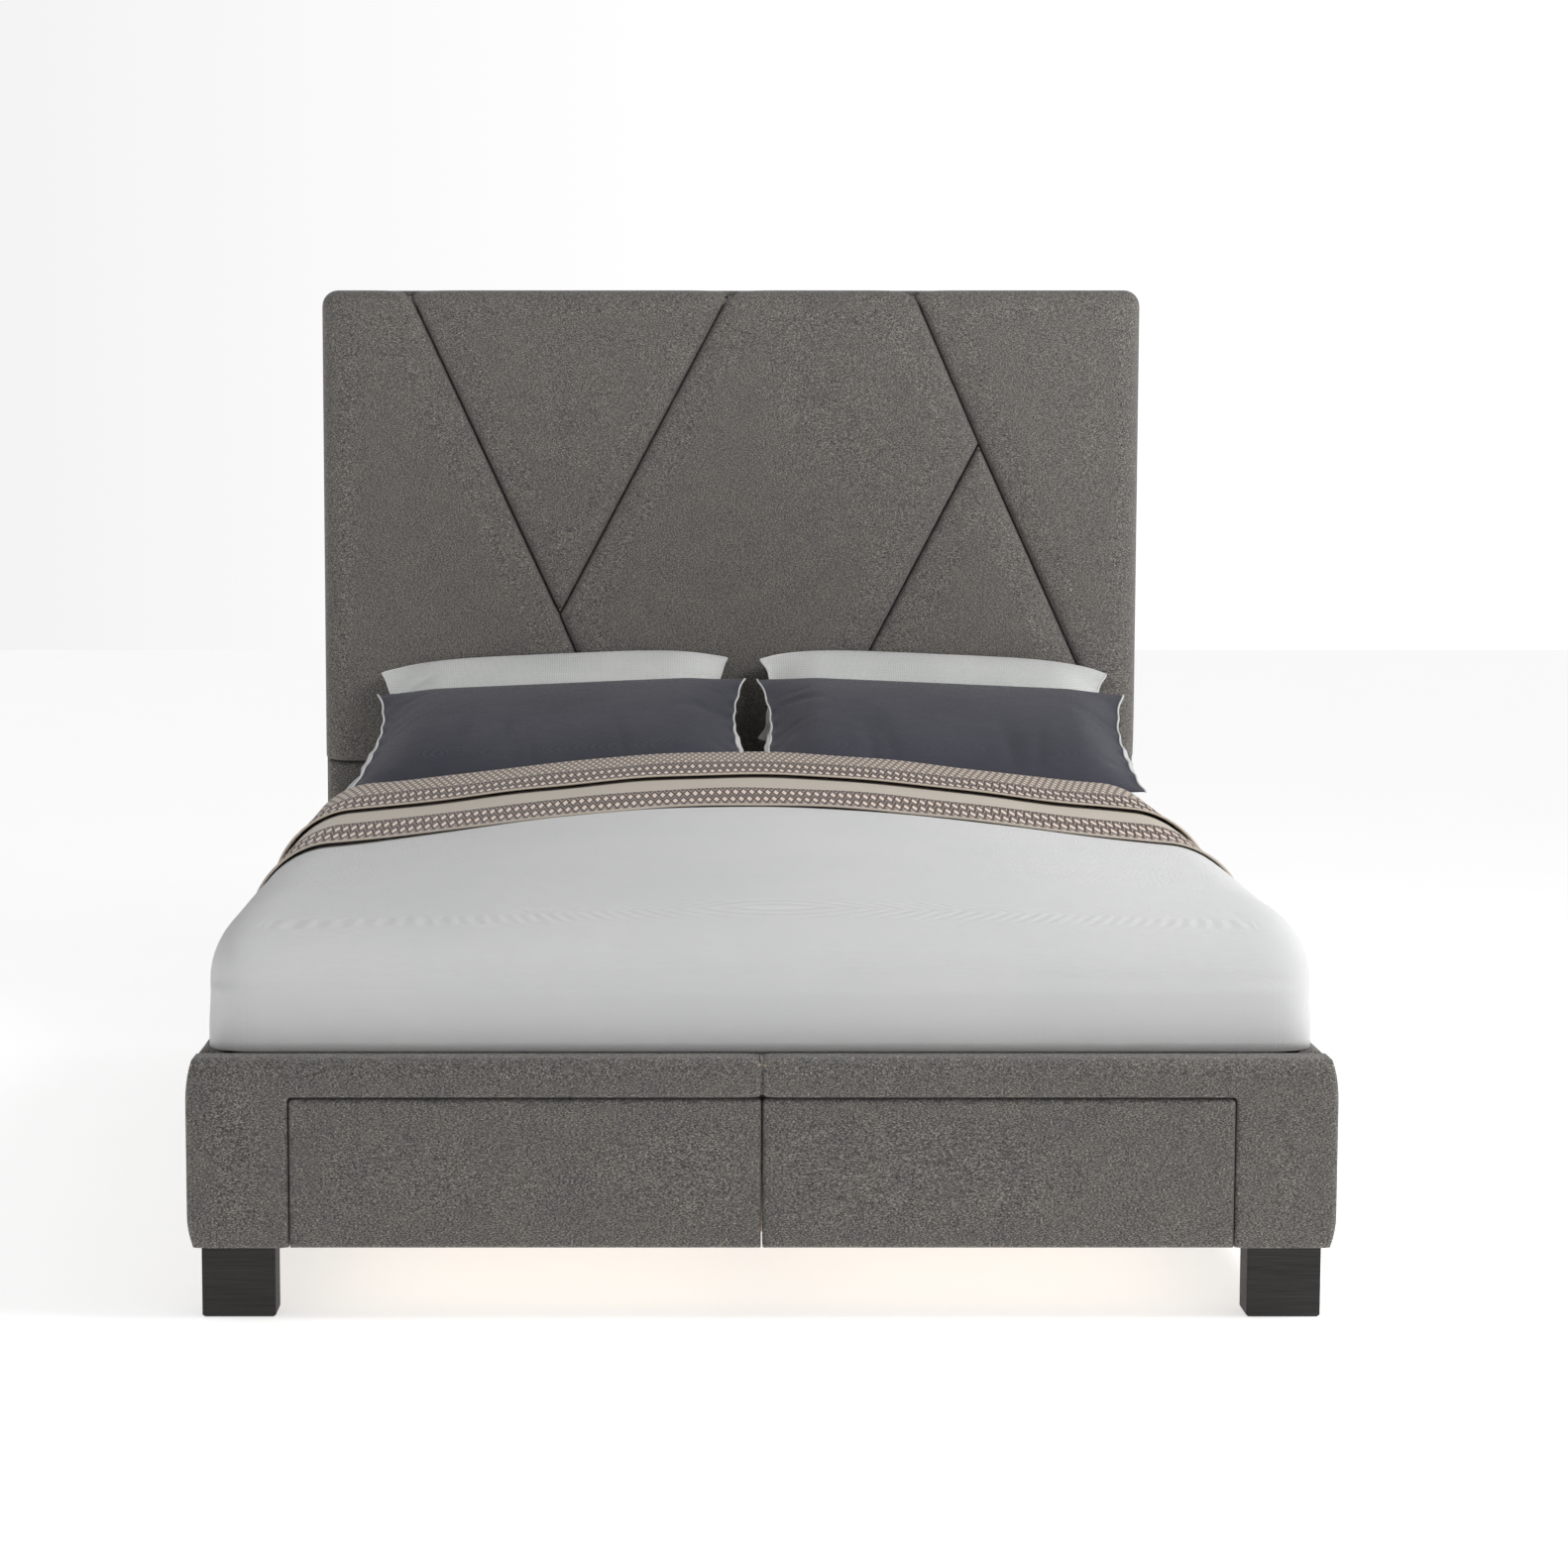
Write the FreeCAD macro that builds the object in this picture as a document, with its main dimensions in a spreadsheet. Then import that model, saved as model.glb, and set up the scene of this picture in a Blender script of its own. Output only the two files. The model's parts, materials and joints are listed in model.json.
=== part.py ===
"""Upholstered queen platform bed with two storage drawers in its foot end.

X runs across the bed, +Y from the foot to the head, Z up from the floor.
The origin is on the floor, in the middle of the bed's outline.
"""
import FreeCAD, Part
import math
import os
import re
import Sketcher

# Driving sizes in millimetres, angles in degrees.
SIZES = {
    # the whole bed
    "bed_width": 1630, "bed_length": 2230, "headboard_height": 1534,
    "frame_top": 374, "leg_height": 104, "skin": 8,
    # legs
    "leg_width": 105, "leg_depth": 60, "leg_inset": 20, "leg_side_inset": 19, "leg_chamfer": 3,
    # headboard, counted back from its front face
    "headboard_depth": 103, "panel_depth": 54, "lower_setback": 22, "board": 12,
    "upper_bottom": 594, "panel_gap": 1.2, "panel_round": 8, "post_width": 80, "edge_wrap": 13,
    "back_cover": 2, "cross_rail": 90, "lower_inset": 4, "lower_gap": 2, "tip_setback": 4.8,
    # where the headboard seams run
    "seam_a_top": -641, "seam_a_bottom": -215, "apex_x": -342, "apex_z": 888,
    "seam_b_top": 0, "seam_c_top": 361, "seam_c_bottom": 785,
    "fork_x": 495, "fork_z": 1231, "seam_d_bottom": 163,
    # footboard and side rails
    "footboard_depth": 70, "opening_half": 670.5, "opening_top": 320, "cover_round": 12,
    "rail_outer_inset": 8, "rail_inner": 766,
    # slat platform
    "ledger_width": 25, "ledger_bottom": 290, "slat_bottom": 315, "slat_thick": 18,
    "slat_width": 80, "slat_half": 764, "slat_end_gap": 30, "slat_count": 13,
    "strap_width": 30, "strap_thick": 1.5,
    "strap_x": 380, "beam_half": 20, "beam_bottom": 255, "centre_leg_foot": -50, "centre_leg_head": 550,
    # drawer bay
    "runner_face": 655, "runner_thick": 16, "runner_top": 300, "bay_bottom": 112, "bay_back": -530,
    "bay_rail_thick": 18, "bay_clearance": 0.5, "divider_half": 12,
    # drawers
    "front_thick": 32, "front_board": 18, "front_gap": 1.25, "front_side_gap": 2, "front_top_gap": 2.5,
    "front_round": 6, "box_bottom": 124, "box_top": 284, "box_back": -540, "box_wall": 12,
    "bottom_lift": 6, "bottom_thick": 6, "slide_gap": 12.7,
    # ball-bearing slides
    "slide_front": -1040, "slide_length": 500, "slide_z": 195,
    "outer_high": 45, "outer_lip": 9, "outer_wall": 1.3, "middle_set": 4, "middle_high": 36,
    "middle_lip": 6.5, "middle_wall": 1.2, "inner_high": 28, "inner_lip": 5.7, "inner_wall": 1.3,
    # corner brackets and their bolts
    "bracket_leg": 40, "bracket_wall": 2.5, "bracket_bottom": 150, "bracket_high": 100,
    "bolt_radius": 4, "bore_radius": 4.3, "head_radius": 7.5, "head_thick": 5.5, "bolt_reach": 30,
    "bore_reach": 31, "bolt_offset": 22, "bolt_low": 175, "bolt_high": 225,
    # mattress and bedding
    "mattress_half": 757, "mattress_foot": -1020, "mattress_head": 1008, "mattress_top": 588,
    "mattress_round": 25, "cavity_gap": 0.5, "duvet_foot": -1042, "duvet_head": 1009, "duvet_bottom": 346,
    "tuck_half": 765, "tuck_top": 380, "waist_z": 420, "duvet_half": 787, "shoulder_z": 598,
    "shoulder_half": 700, "foot_turn": 20,
    "throw_gap": 0.3, "throw_thick": 9, "throw_front": -340, "throw_flap_front": -620, "throw_back": 520,
    "throw_hem": 400, "throw_reach": 827, "throw_straight": 580,
    # pillows
    "pillow_width": 715, "pillow_deep": 325, "pillow_thick": 96, "pillow_lean": 23,
    "pillow_left_x": -340, "pillow_right_x": 394, "pillow_y": 695, "pillow_z": 702,
    "sham_width": 675, "sham_deep": 262, "sham_thick": 66, "sham_lean": 47,
    "sham_left_x": -352, "sham_right_x": 396, "sham_y": 898, "sham_z": 715, "pillow_roll": 2.5,
    "cushion_hem": 4, "cushion_corner": 28,
}

# Lengths closer than this count as equal, and an edge longer than LONG is a long one.
TOUCH = 0.01
LONG = 100

doc = FreeCAD.newDocument("storage_bed")
sheet = doc.addObject("Spreadsheet::Sheet", "sizes")
for row, (alias, value) in enumerate(SIZES.items(), start=1):
    sheet.set(f"A{row}", alias)
    sheet.set(f"B{row}", str(value))
    sheet.setAlias(f"B{row}", alias)
doc.recompute()
parts = {}


def cells(text):
    """Point every size name in an expression at its spreadsheet cell."""
    return re.sub(r"[a-z][a-z_]+", lambda word: "sizes." + word.group(), text)


def size(alias):
    return float(sheet.get(alias))


def keep(label, item):
    """Hand an object in as one sub-part."""
    item.Label = label
    parts[label] = item
    return item


def span(side, inner, outer):
    """The low and high X of something that lies from inner to outer on one side of the bed."""
    if side > 0:
        return inner, outer
    return f"-({outer})", f"-({inner})"


def box(name, xs, ys, zs):
    """A Part::Box between two corners whose coordinates are expressions."""
    item = doc.addObject("Part::Box", name)
    for prop, axis, (low, high) in zip(("Length", "Width", "Height"), "xyz", (xs, ys, zs)):
        item.setExpression(prop, cells(f"({high}) - ({low})"))
        item.setExpression(f"Placement.Base.{axis}", cells(low))
    return item


def cut(name, base, *tools):
    """Take each tool away from the base in turn."""
    for tool in tools:
        result = doc.addObject("Part::Cut", name)
        result.Base = base
        result.Tool = tool
        base = result
    return base


def group(name, members):
    item = doc.addObject("Part::Compound", name)
    item.Links = members
    return item


def polygon_body(name, role, corners, length, offset):
    """A PartDesign body: a polygon drawn on an origin plane and padded along +Y or +Z.

    role is the plane, corners are pairs of expressions, and offset places the plane. The corners are
    first drawn at any places that are not in line, and the constraints then move them.
    """
    body = doc.addObject("PartDesign::Body", name)
    plane = next(item for item in body.Origin.OriginFeatures if item.Role == role)
    sketch = body.newObject("Sketcher::SketchObject", name + "_outline")
    sketch.AttachmentSupport = [(plane, "")]
    sketch.MapMode = "FlatFace"
    count = len(corners)
    spots = [FreeCAD.Vector(number, number ** 2, 0) for number in range(1, count + 1)]
    for number in range(count):
        sketch.addGeometry(Part.LineSegment(spots[number], spots[(number + 1) % count]))
    for number in range(count):
        sketch.addConstraint(Sketcher.Constraint("Coincident", number, 2, (number + 1) % count, 1))
    for number, corner in enumerate(corners):
        for kind, text, start in zip(("DistanceX", "DistanceY"), corner, spots[number]):
            index = sketch.addConstraint(Sketcher.Constraint(kind, -1, 1, number, 1, start))
            sketch.setExpression(f"Constraints[{index}]", cells(text))
    pad = body.newObject("PartDesign::Pad", name + "_pad")
    pad.Profile = sketch
    pad.Reversed = role == "XZ_Plane"
    pad.setExpression("Length", cells(length))
    body.setExpression("Placement.Base." + ("y" if role == "XZ_Plane" else "z"), cells(offset))
    doc.recompute()
    return body


def rounded(body, radius, chosen, kind="PartDesign::Fillet"):
    """Round, or chamfer, the edges of the body's tip that the test chosen picks."""
    base = body.Tip
    edges = enumerate(base.Shape.Edges, start=1)
    names = [f"Edge{index}" for index, edge in edges if chosen(edge.BoundBox)]
    dress = body.newObject(kind, body.Name + "_dress")
    dress.Base = (base, names)
    dress.setExpression("Radius" if kind.endswith("Fillet") else "Size", cells(radius))
    doc.recompute()
    return body


def on_front(bound):
    """True for an edge that lies in the plane where a pad along +Y starts."""
    return abs(bound.YMin) < TOUCH and abs(bound.YMax) < TOUCH


# Named places, as expressions
HALF = "bed_width / 2"
FOOT = "-bed_length / 2"
HEAD = "bed_length / 2"
FOOT_BACK = FOOT + " + footboard_depth"
HEAD_FACE = HEAD + " - headboard_depth"
LOWER_FACE = HEAD_FACE + " + lower_setback"
BOARD_FACE = HEAD_FACE + " + panel_depth"
POST_FACE = BOARD_FACE + " + board"
WRAP_INNER = HALF + " - edge_wrap"
SLAT_TOP = "slat_bottom + slat_thick"
SIDES = {"left": -1, "right": 1}


def legs():
    """Four block legs under the corners and two under the middle beam."""
    inner = HALF + " - leg_side_inset - leg_width"
    outer = HALF + " - leg_side_inset"
    rows = {"front_leg": FOOT + " + leg_inset", "rear_leg": HEAD + " - back_cover - leg_depth"}
    for end, start in rows.items():
        for name, side in SIDES.items():
            low, high = span(side, inner, outer)
            corners = [(low, "0"), (high, "0"), (high, "leg_height"), (low, "leg_height")]
            leg = polygon_body(f"{end}_{name}", "XZ_Plane", corners, "leg_depth", start)
            rounded(leg, "leg_chamfer", lambda bound: bound.ZMax < TOUCH, "PartDesign::Chamfer")
            keep(f"{end}_{name}", leg)
    middle = ("-beam_half", "beam_half")
    places = ("centre_leg_foot", "centre_leg_head")
    blocks = [box("centre_leg", middle, (place, place + " + 2 * beam_half"), ("0", "beam_bottom"))
              for place in places]
    keep("centre_legs", group("centre_legs", blocks))


def headboard_panel(name, corners):
    panel = polygon_body("headboard_panel_" + name, "XZ_Plane", corners, "panel_depth", HEAD_FACE)
    keep("headboard_panel_" + name, rounded(panel, "panel_round", on_front))


def headboard_panels():
    """Five padded panels that meet in straight seams, and the thin panel under them."""
    top = "headboard_height"
    low = "upper_bottom"
    gap = "panel_gap"
    headboard_panel("left", [
        ("-" + HALF, low), (f"seam_a_bottom - {gap}", low), (f"apex_x - {gap}", "apex_z"),
        (f"seam_a_top - {gap}", top), ("-" + HALF, top)])
    headboard_panel("vee", [
        (f"seam_a_top + {gap}", top), ("apex_x", "apex_z + tip_setback"), (f"seam_b_top - {gap}", top)])
    headboard_panel("centre", [
        (f"seam_a_bottom + {gap}", low), (f"seam_d_bottom - {gap}", low), (f"fork_x - {gap}", "fork_z"),
        (f"seam_c_top - {gap}", top), (f"seam_b_top + {gap}", top), (f"apex_x + {gap}", "apex_z")])
    headboard_panel("triangle", [
        (f"seam_d_bottom + {gap}", low), (f"seam_c_bottom - {gap}", low), ("fork_x", "fork_z - tip_setback")])
    headboard_panel("right", [
        (f"seam_c_bottom + {gap}", low), (HALF, low), (HALF, top), (f"seam_c_top + {gap}", top),
        (f"fork_x + {gap}", "fork_z")])
    return box("headboard_lower_panel", (f"-({HALF} - lower_inset)", HALF + " - lower_inset"),
               (LOWER_FACE, BOARD_FACE), ("leg_height", "upper_bottom - lower_gap"))


def headboard_frame():
    """The timber frame behind the padding, its fabric edge wrap and the dust cover at the back."""
    heights = ("leg_height", "headboard_height - edge_wrap")
    within = ("-(" + WRAP_INNER + ")", WRAP_INNER)
    face = box("headboard_backboard", within, (BOARD_FACE, POST_FACE), heights)
    deep = (POST_FACE, HEAD + " - back_cover")
    for name, side in SIDES.items():
        xs = span(side, WRAP_INNER + " - post_width", WRAP_INNER)
        keep("headboard_post_" + name, box("headboard_post", xs, deep, heights))
    between = ("-(" + WRAP_INNER + " - post_width)", WRAP_INNER + " - post_width")
    starts = ("leg_height", "upper_bottom - cross_rail / 2", "headboard_height - edge_wrap - cross_rail")
    rails = [box("cross_rail", between, deep, (start, start + " + cross_rail")) for start in starts]
    keep("headboard_cross_rails", group("headboard_cross_rails", rails))
    outer = box("edge_outer", ("-" + HALF, HALF), (BOARD_FACE, HEAD + " - back_cover"),
                ("leg_height", "headboard_height"))
    core = box("edge_core", within, (BOARD_FACE, HEAD), heights)
    keep("headboard_edge_cover", cut("headboard_edge_cover", outer, core))
    keep("headboard_back_cover", box("headboard_back_cover", within, (HEAD + " - back_cover", HEAD), heights))
    return face


def footboard():
    """A timber goal frame round the drawer opening, in two upholstered covers seamed at the middle."""
    ys = (FOOT + " + skin", FOOT_BACK + " - skin")
    wide = HALF + " - skin"
    rail = box("footboard_top_rail", ("-(" + wide + ")", wide), ys,
               ("opening_top + skin", "frame_top - skin"))
    keep("footboard_top_rail", rail)
    solids = {}
    for name, side in SIDES.items():
        xs = span(side, "opening_half + skin", wide)
        post = box("footboard_post", xs, ys, ("leg_height + skin", "opening_top + skin"))
        corners = [("panel_gap / 2", "opening_top"), ("opening_half", "opening_top"),
                   ("opening_half", "leg_height"), (HALF, "leg_height"), (HALF, "frame_top"),
                   ("panel_gap / 2", "frame_top")]
        corners = [(f"{side} * ({across})", up) for across, up in corners]
        outline = polygon_body("cover_outline_" + name, "XZ_Plane", corners, "footboard_depth", FOOT)
        half = size("bed_width") / 2
        top = size("frame_top")
        rounded(outline, "cover_round", lambda bound, side=side: (
            abs(bound.ZMin - top) < TOUCH and bound.XLength > LONG
            or abs(side * bound.Center.x - half) < TOUCH and bound.XLength < TOUCH and bound.ZLength > LONG))
        solids["footboard_post_" + name] = post
        solids["footboard_cover_" + name] = cut("footboard_cover", outline, rail, post)
    return solids


def side_rails():
    """A board on each side between footboard and headboard, in a padded fabric sleeve."""
    solids = {}
    ys = (FOOT_BACK, LOWER_FACE)
    for name, side in SIDES.items():
        outer = HALF + " - rail_outer_inset"
        board = box("side_rail", span(side, "rail_inner + skin", outer + " - skin"), ys,
                    ("leg_height + skin", "frame_top - skin"))
        sleeve = box("rail_sleeve", span(side, "rail_inner", outer), ys, ("leg_height", "frame_top"))
        solids["side_rail_" + name] = board
        solids["side_rail_cover_" + name] = cut("side_rail_cover", sleeve, board)
    return solids


def platform():
    """Ledgers, middle beam and the roll of slats tied by two webbing straps."""
    ys = (FOOT_BACK, LOWER_FACE)
    ledgers = [box("ledger", span(side, "rail_inner - ledger_width", "rail_inner"), ys,
                   ("ledger_bottom", "slat_bottom")) for side in SIDES.values()]
    keep("slat_ledgers", group("slat_ledgers", ledgers))
    keep("centre_beam", box("centre_beam", ("-beam_half", "beam_half"), ys, ("beam_bottom", "slat_bottom")))
    count = int(size("slat_count"))
    first = f"{FOOT_BACK} + slat_end_gap"
    last = f"{LOWER_FACE} - slat_end_gap - slat_width"
    slats = []
    for number in range(count):
        start = f"({first}) + (({last}) - ({first})) * {number} / (slat_count - 1)"
        slats.append(box("slat", ("-slat_half", "slat_half"), (start, start + " + slat_width"),
                         ("slat_bottom", SLAT_TOP)))
    keep("slats", group("slats", slats))
    straps = [box("strap", (f"{side} * strap_x", f"{side} * strap_x + strap_width"),
                  (first, last + " + slat_width"), (SLAT_TOP, SLAT_TOP + " + strap_thick"))
              for side in SIDES.values()]
    keep("slat_straps", group("slat_straps", straps))


def drawer_bay():
    """The fixed boards that carry the drawer slides."""
    ys = (FOOT_BACK, "bay_back")
    for name, side in SIDES.items():
        xs = span(side, "runner_face", "runner_face + runner_thick")
        keep("runner_panel_" + name, box("runner_panel", xs, ys, ("bay_bottom", "runner_top")))
    keep("drawer_divider", box("drawer_divider", ("-divider_half", "divider_half"), ys,
                               ("bay_bottom", "beam_bottom")))
    reach = "rail_inner - bay_clearance"
    keep("bay_rear_rail", box("bay_rear_rail", (f"-({reach})", reach),
                              ("bay_back", "bay_back + bay_rail_thick"), ("bay_bottom", "beam_bottom")))


def drawer(name, side):
    """One drawer: padded front, four walls and a bottom."""
    front_ys = (FOOT, FOOT + " + front_thick")
    inner, outer = "front_gap", "opening_half - front_side_gap"
    top = "opening_top - front_top_gap"
    corners = [(inner, "leg_height"), (outer, "leg_height"), (outer, top), (inner, top)]
    corners = [(f"{side} * ({across})", up) for across, up in corners]
    pad = polygon_body("front_pad_" + name, "XZ_Plane", corners, "front_thick", front_ys[0])
    rounded(pad, "front_round", on_front)
    board = box("front_board", span(side, inner + " + skin", outer + " - skin"),
                (front_ys[1] + " - front_board", front_ys[1]), ("leg_height + skin", top + " - skin"))
    keep(f"drawer_{name}_front_board", board)
    keep(f"drawer_{name}_front_cover", cut("front_cover", pad, board))
    low_x, high_x = "divider_half + slide_gap", "runner_face - slide_gap"
    deep = (front_ys[1], "box_back")
    high = ("box_bottom", "box_top")
    walls = {"inner_side": (low_x, low_x + " + box_wall"), "outer_side": (high_x + " - box_wall", high_x)}
    for wall, (near, far) in walls.items():
        keep(f"drawer_{name}_{wall}", box(wall, span(side, near, far), deep, high))
    inside = span(side, low_x + " + box_wall", high_x + " - box_wall")
    keep(f"drawer_{name}_back", box("drawer_back", inside, ("box_back - box_wall", "box_back"), high))
    keep(f"drawer_{name}_bottom", box(
        "drawer_bottom", inside, (front_ys[1], "box_back - box_wall"),
        ("box_bottom + bottom_lift", "box_bottom + bottom_lift + bottom_thick")))


def channel(name, web_x, facing, member):
    """A C-shaped slide member, its web on web_x and its lips turned towards facing."""
    tall, lip, wall = f"{member}_high / 2", f"{member}_lip", f"{member}_wall"
    upper = [("0", tall), (lip, tall), (lip, f"{tall} - {wall}"), (wall, f"{tall} - {wall}")]
    lower = [(across, f"-({up})") for across, up in reversed(upper)]
    outline = upper + lower
    corners = [(f"{web_x} + {facing} * ({across})", f"slide_z + ({up})") for across, up in outline]
    return polygon_body(name, "XZ_Plane", corners, "slide_length", "slide_front")


def slides():
    """Four full-extension slides: outer members fixed, middle ones between, inner ones on the drawers."""
    fixed = []
    for name, side in SIDES.items():
        middle, inner = [], []
        for face, turn in (("runner_face", -1), ("divider_half", 1)):
            facing = side * turn
            start = f"{side} * {face}"
            fixed.append(channel(f"outer_member_{name}_{face}", start, facing, "outer"))
            middle.append(channel(f"middle_member_{name}_{face}", f"{start} + {facing} * middle_set",
                                  facing, "middle"))
            inner.append(channel(f"inner_member_{name}_{face}", f"{start} + {facing} * slide_gap",
                                 -facing, "inner"))
        keep(f"slide_middle_members_{name}", group("slide_middle_members", middle))
        keep(f"slide_inner_members_{name}", group("slide_inner_members", inner))
    keep("slide_outer_members", group("slide_outer_members", fixed))


def bolt(tip_axis, head_at, bore):
    """A hexagon-head bolt, or the bore it runs in; tip_axis is the way it points from head_at."""
    direction = FreeCAD.Vector(*tip_axis)
    turn = FreeCAD.Rotation(FreeCAD.Vector(0, 0, 1), direction)
    shank = doc.addObject("Part::Cylinder", "bore" if bore else "shank")
    shank.setExpression("Radius", cells("bore_radius" if bore else "bolt_radius"))
    shank.setExpression("Height", cells("bore_reach" if bore else "bolt_reach"))
    shank.Placement.Rotation = turn
    items = [shank]
    if not bore:
        hexagon = doc.addObject("Part::Prism", "bolt_head")
        hexagon.Polygon = 6
        hexagon.setExpression("Circumradius", cells("head_radius"))
        hexagon.setExpression("Height", cells("head_thick"))
        hexagon.Placement.Rotation = FreeCAD.Rotation(FreeCAD.Vector(0, 0, 1), direction * -1)
        items.append(hexagon)
    for item in items:
        for axis, text in zip("xyz", head_at):
            item.setExpression(f"Placement.Base.{axis}", cells(text))
    if bore:
        return shank
    fused = doc.addObject("Part::Fuse", "bolt")
    fused.Base, fused.Tool = items
    return fused


def corner_fixings():
    """The four angle brackets inside the corners, their bolts and the bores for these."""
    brackets, bolts, bores = [], [], []
    ends = {"foot": (FOOT_BACK, 1), "head": (LOWER_FACE, -1)}
    for side_name, side in SIDES.items():
        for end_name, (wall_y, turn) in ends.items():
            corner_x = f"{side} * rail_inner"
            steps = [("0", "0"), ("bracket_leg", "0"), ("bracket_leg", "bracket_wall"),
                     ("bracket_wall", "bracket_wall"), ("bracket_wall", "bracket_leg"), ("0", "bracket_leg")]
            corners = [(f"{corner_x} - {side} * {across}", f"{wall_y} + {turn} * {along}")
                       for across, along in steps]
            brackets.append(polygon_body(f"bracket_{side_name}_{end_name}", "XY_Plane", corners,
                                         "bracket_high", "bracket_bottom"))
            for height in ("bolt_low", "bolt_high"):
                into_rail = ("bracket_wall", "bolt_offset")
                into_end = ("bolt_offset", "bracket_wall")
                for axis, (across, along) in (((side, 0, 0), into_rail), ((0, -turn, 0), into_end)):
                    place = (f"{corner_x} - {side} * {across}", f"{wall_y} + {turn} * {along}", height)
                    bolts.append(bolt(axis, place, False))
                    bores.append(bolt(axis, place, True))
    tool = doc.addObject("Part::MultiFuse", "bolt_bores")
    tool.Shapes = bores
    keep("rail_brackets", cut("rail_brackets", group("bracket_set", brackets), tool))
    keep("rail_bolts", group("rail_bolts", bolts))
    return tool


def bed_section(along, drop, narrow, crown, grow):
    """The bedding's outline across the bed at one place along it, grown outwards by grow.

    drop lowers the shoulders, narrow pulls the sides in, and crown lifts the middle of the top.
    """
    half = size("duvet_half") - narrow + grow
    flat = size("shoulder_half") - narrow
    tuck = size("tuck_half")
    edge = size("shoulder_z") - drop + grow

    def at(across, up):
        return FreeCAD.Vector(across, along, up)

    def bend(start, middle, end):
        return Part.Arc(start, middle, end).toShape()

    turn = half - flat
    sag = turn * (1 - math.cos(math.pi / 4))
    shoulder = [at(flat, edge), at(half - sag, edge - sag), at(half, edge - turn)]
    flipped = [at(-point.x, point.z) for point in shoulder]
    right = [shoulder[2], at(half, size("waist_z")), at(tuck, size("tuck_top")),
             at(tuck, size("duvet_bottom"))]
    left = [at(-point.x, point.z) for point in right]
    sides = [Part.makeLine(a, b) for a, b in zip(right, right[1:])]
    other = [Part.makeLine(b, a) for a, b in zip(left, left[1:])][::-1]
    return Part.Wire([bend(flipped[0], at(0, edge + crown), shoulder[0]), bend(*shoulder), *sides,
                      Part.makeLine(right[-1], left[-1]), *other, bend(*flipped[::-1])])


# At the foot, just behind it and at the head: how far the top drops, the sides pull in and the crown
# lifts. In between, the crown's lift at shares of the bedding's length.
FOOT_END = (34, 16, 6)
FOOT_SHOULDER = (2, 1, 16)
HEAD_END = (0, 0, 6)
CROWN_STATIONS = ((0.2, 40), (0.45, 52), (0.74, 54), (0.785, 10))


def bedding_solid(grow):
    """A ruled loft from the foot to the head of the bed."""
    start, end = size("duvet_foot"), size("duvet_head")
    turned = start + size("foot_turn")
    sections = [bed_section(start - grow, *FOOT_END, grow), bed_section(turned, *FOOT_SHOULDER, grow)]
    sections += [bed_section(start + share * (end - start), 0, 0, crown, grow)
                 for share, crown in CROWN_STATIONS]
    sections.append(bed_section(end, *HEAD_END, grow))
    return Part.makeLoft(sections, True, True)


def throw_plan():
    """The throw seen from above: its front edge sweeps towards the foot on both flanks."""
    reach, straight = size("throw_reach"), size("throw_straight")
    low, high = size("throw_hem"), size("headboard_height")
    front, flank, back = size("throw_front"), size("throw_flap_front"), size("throw_back")
    plan = [(-reach, back), (-reach, flank), (-straight, front), (straight, front), (reach, flank),
            (reach, back), (-reach, back)]
    points = [FreeCAD.Vector(across, along, low) for across, along in plan]
    return Part.Face(Part.makePolygon(points)).extrude(FreeCAD.Vector(0, 0, high - low))


def plain_solid(label, shape):
    """Keep a shape that no parametric feature makes."""
    item = doc.addObject("Part::Feature", label)
    item.Shape = shape
    item.Placement = FreeCAD.Placement()
    return keep(label, item)


def bedding():
    """Mattress, the duvet over it and the folded throw across the bed."""
    block = box("mattress_block", ("-mattress_half", "mattress_half"), ("mattress_foot", "mattress_head"),
                (SLAT_TOP + " + strap_thick", "mattress_top"))
    doc.recompute()
    mattress = doc.addObject("Part::Fillet", "mattress")
    mattress.Base = block
    radius = size("mattress_round")
    mattress.Edges = [(number, radius, radius) for number, _ in enumerate(block.Shape.Edges, start=1)]
    keep("mattress", mattress)
    doc.recompute()
    gap = size("cavity_gap")
    half, foot = size("mattress_half") + gap, size("mattress_foot") - gap
    cavity = Part.makeBox(2 * half, size("bed_length"), size("mattress_top") + gap,
                          FreeCAD.Vector(-half, foot, 0))
    plain_solid("duvet", bedding_solid(0).cut(cavity).removeSplitter())
    blanket = bedding_solid(size("throw_thick")).cut(bedding_solid(size("throw_gap")))
    plain_solid("throw", blanket.common(throw_plan()))


# Levels through a cushion's thickness: the share of half the thickness, and of the way in at the faces
CUSHION_TURNS = [math.radians(degrees) for degrees in (-90, -60, -30, 0, 30, 60, 90)]
FACE_INSET = 0.26
END_INSET = 0.9
CORNER_SHARE = 0.5


def rounded_outline(half_x, half_y, corner, up):
    """A closed wire: a rectangle with rounded corners at one height."""
    arcs = []
    for number, (sign_x, sign_y) in enumerate(((1, 1), (-1, 1), (-1, -1), (1, -1))):
        centre = FreeCAD.Vector(sign_x * (half_x - corner), sign_y * (half_y - corner), up)
        first = math.pi / 2 * number
        arcs.append([centre + FreeCAD.Vector(math.cos(first + step), math.sin(first + step), 0) * corner
                     for step in (0, math.pi / 4, math.pi / 2)])
    edges = []
    for arc, following in zip(arcs, arcs[1:] + arcs[:1]):
        edges.append(Part.Arc(*arc).toShape())
        edges.append(Part.makeLine(arc[-1], following[0]))
    return Part.Wire(edges)


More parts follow.
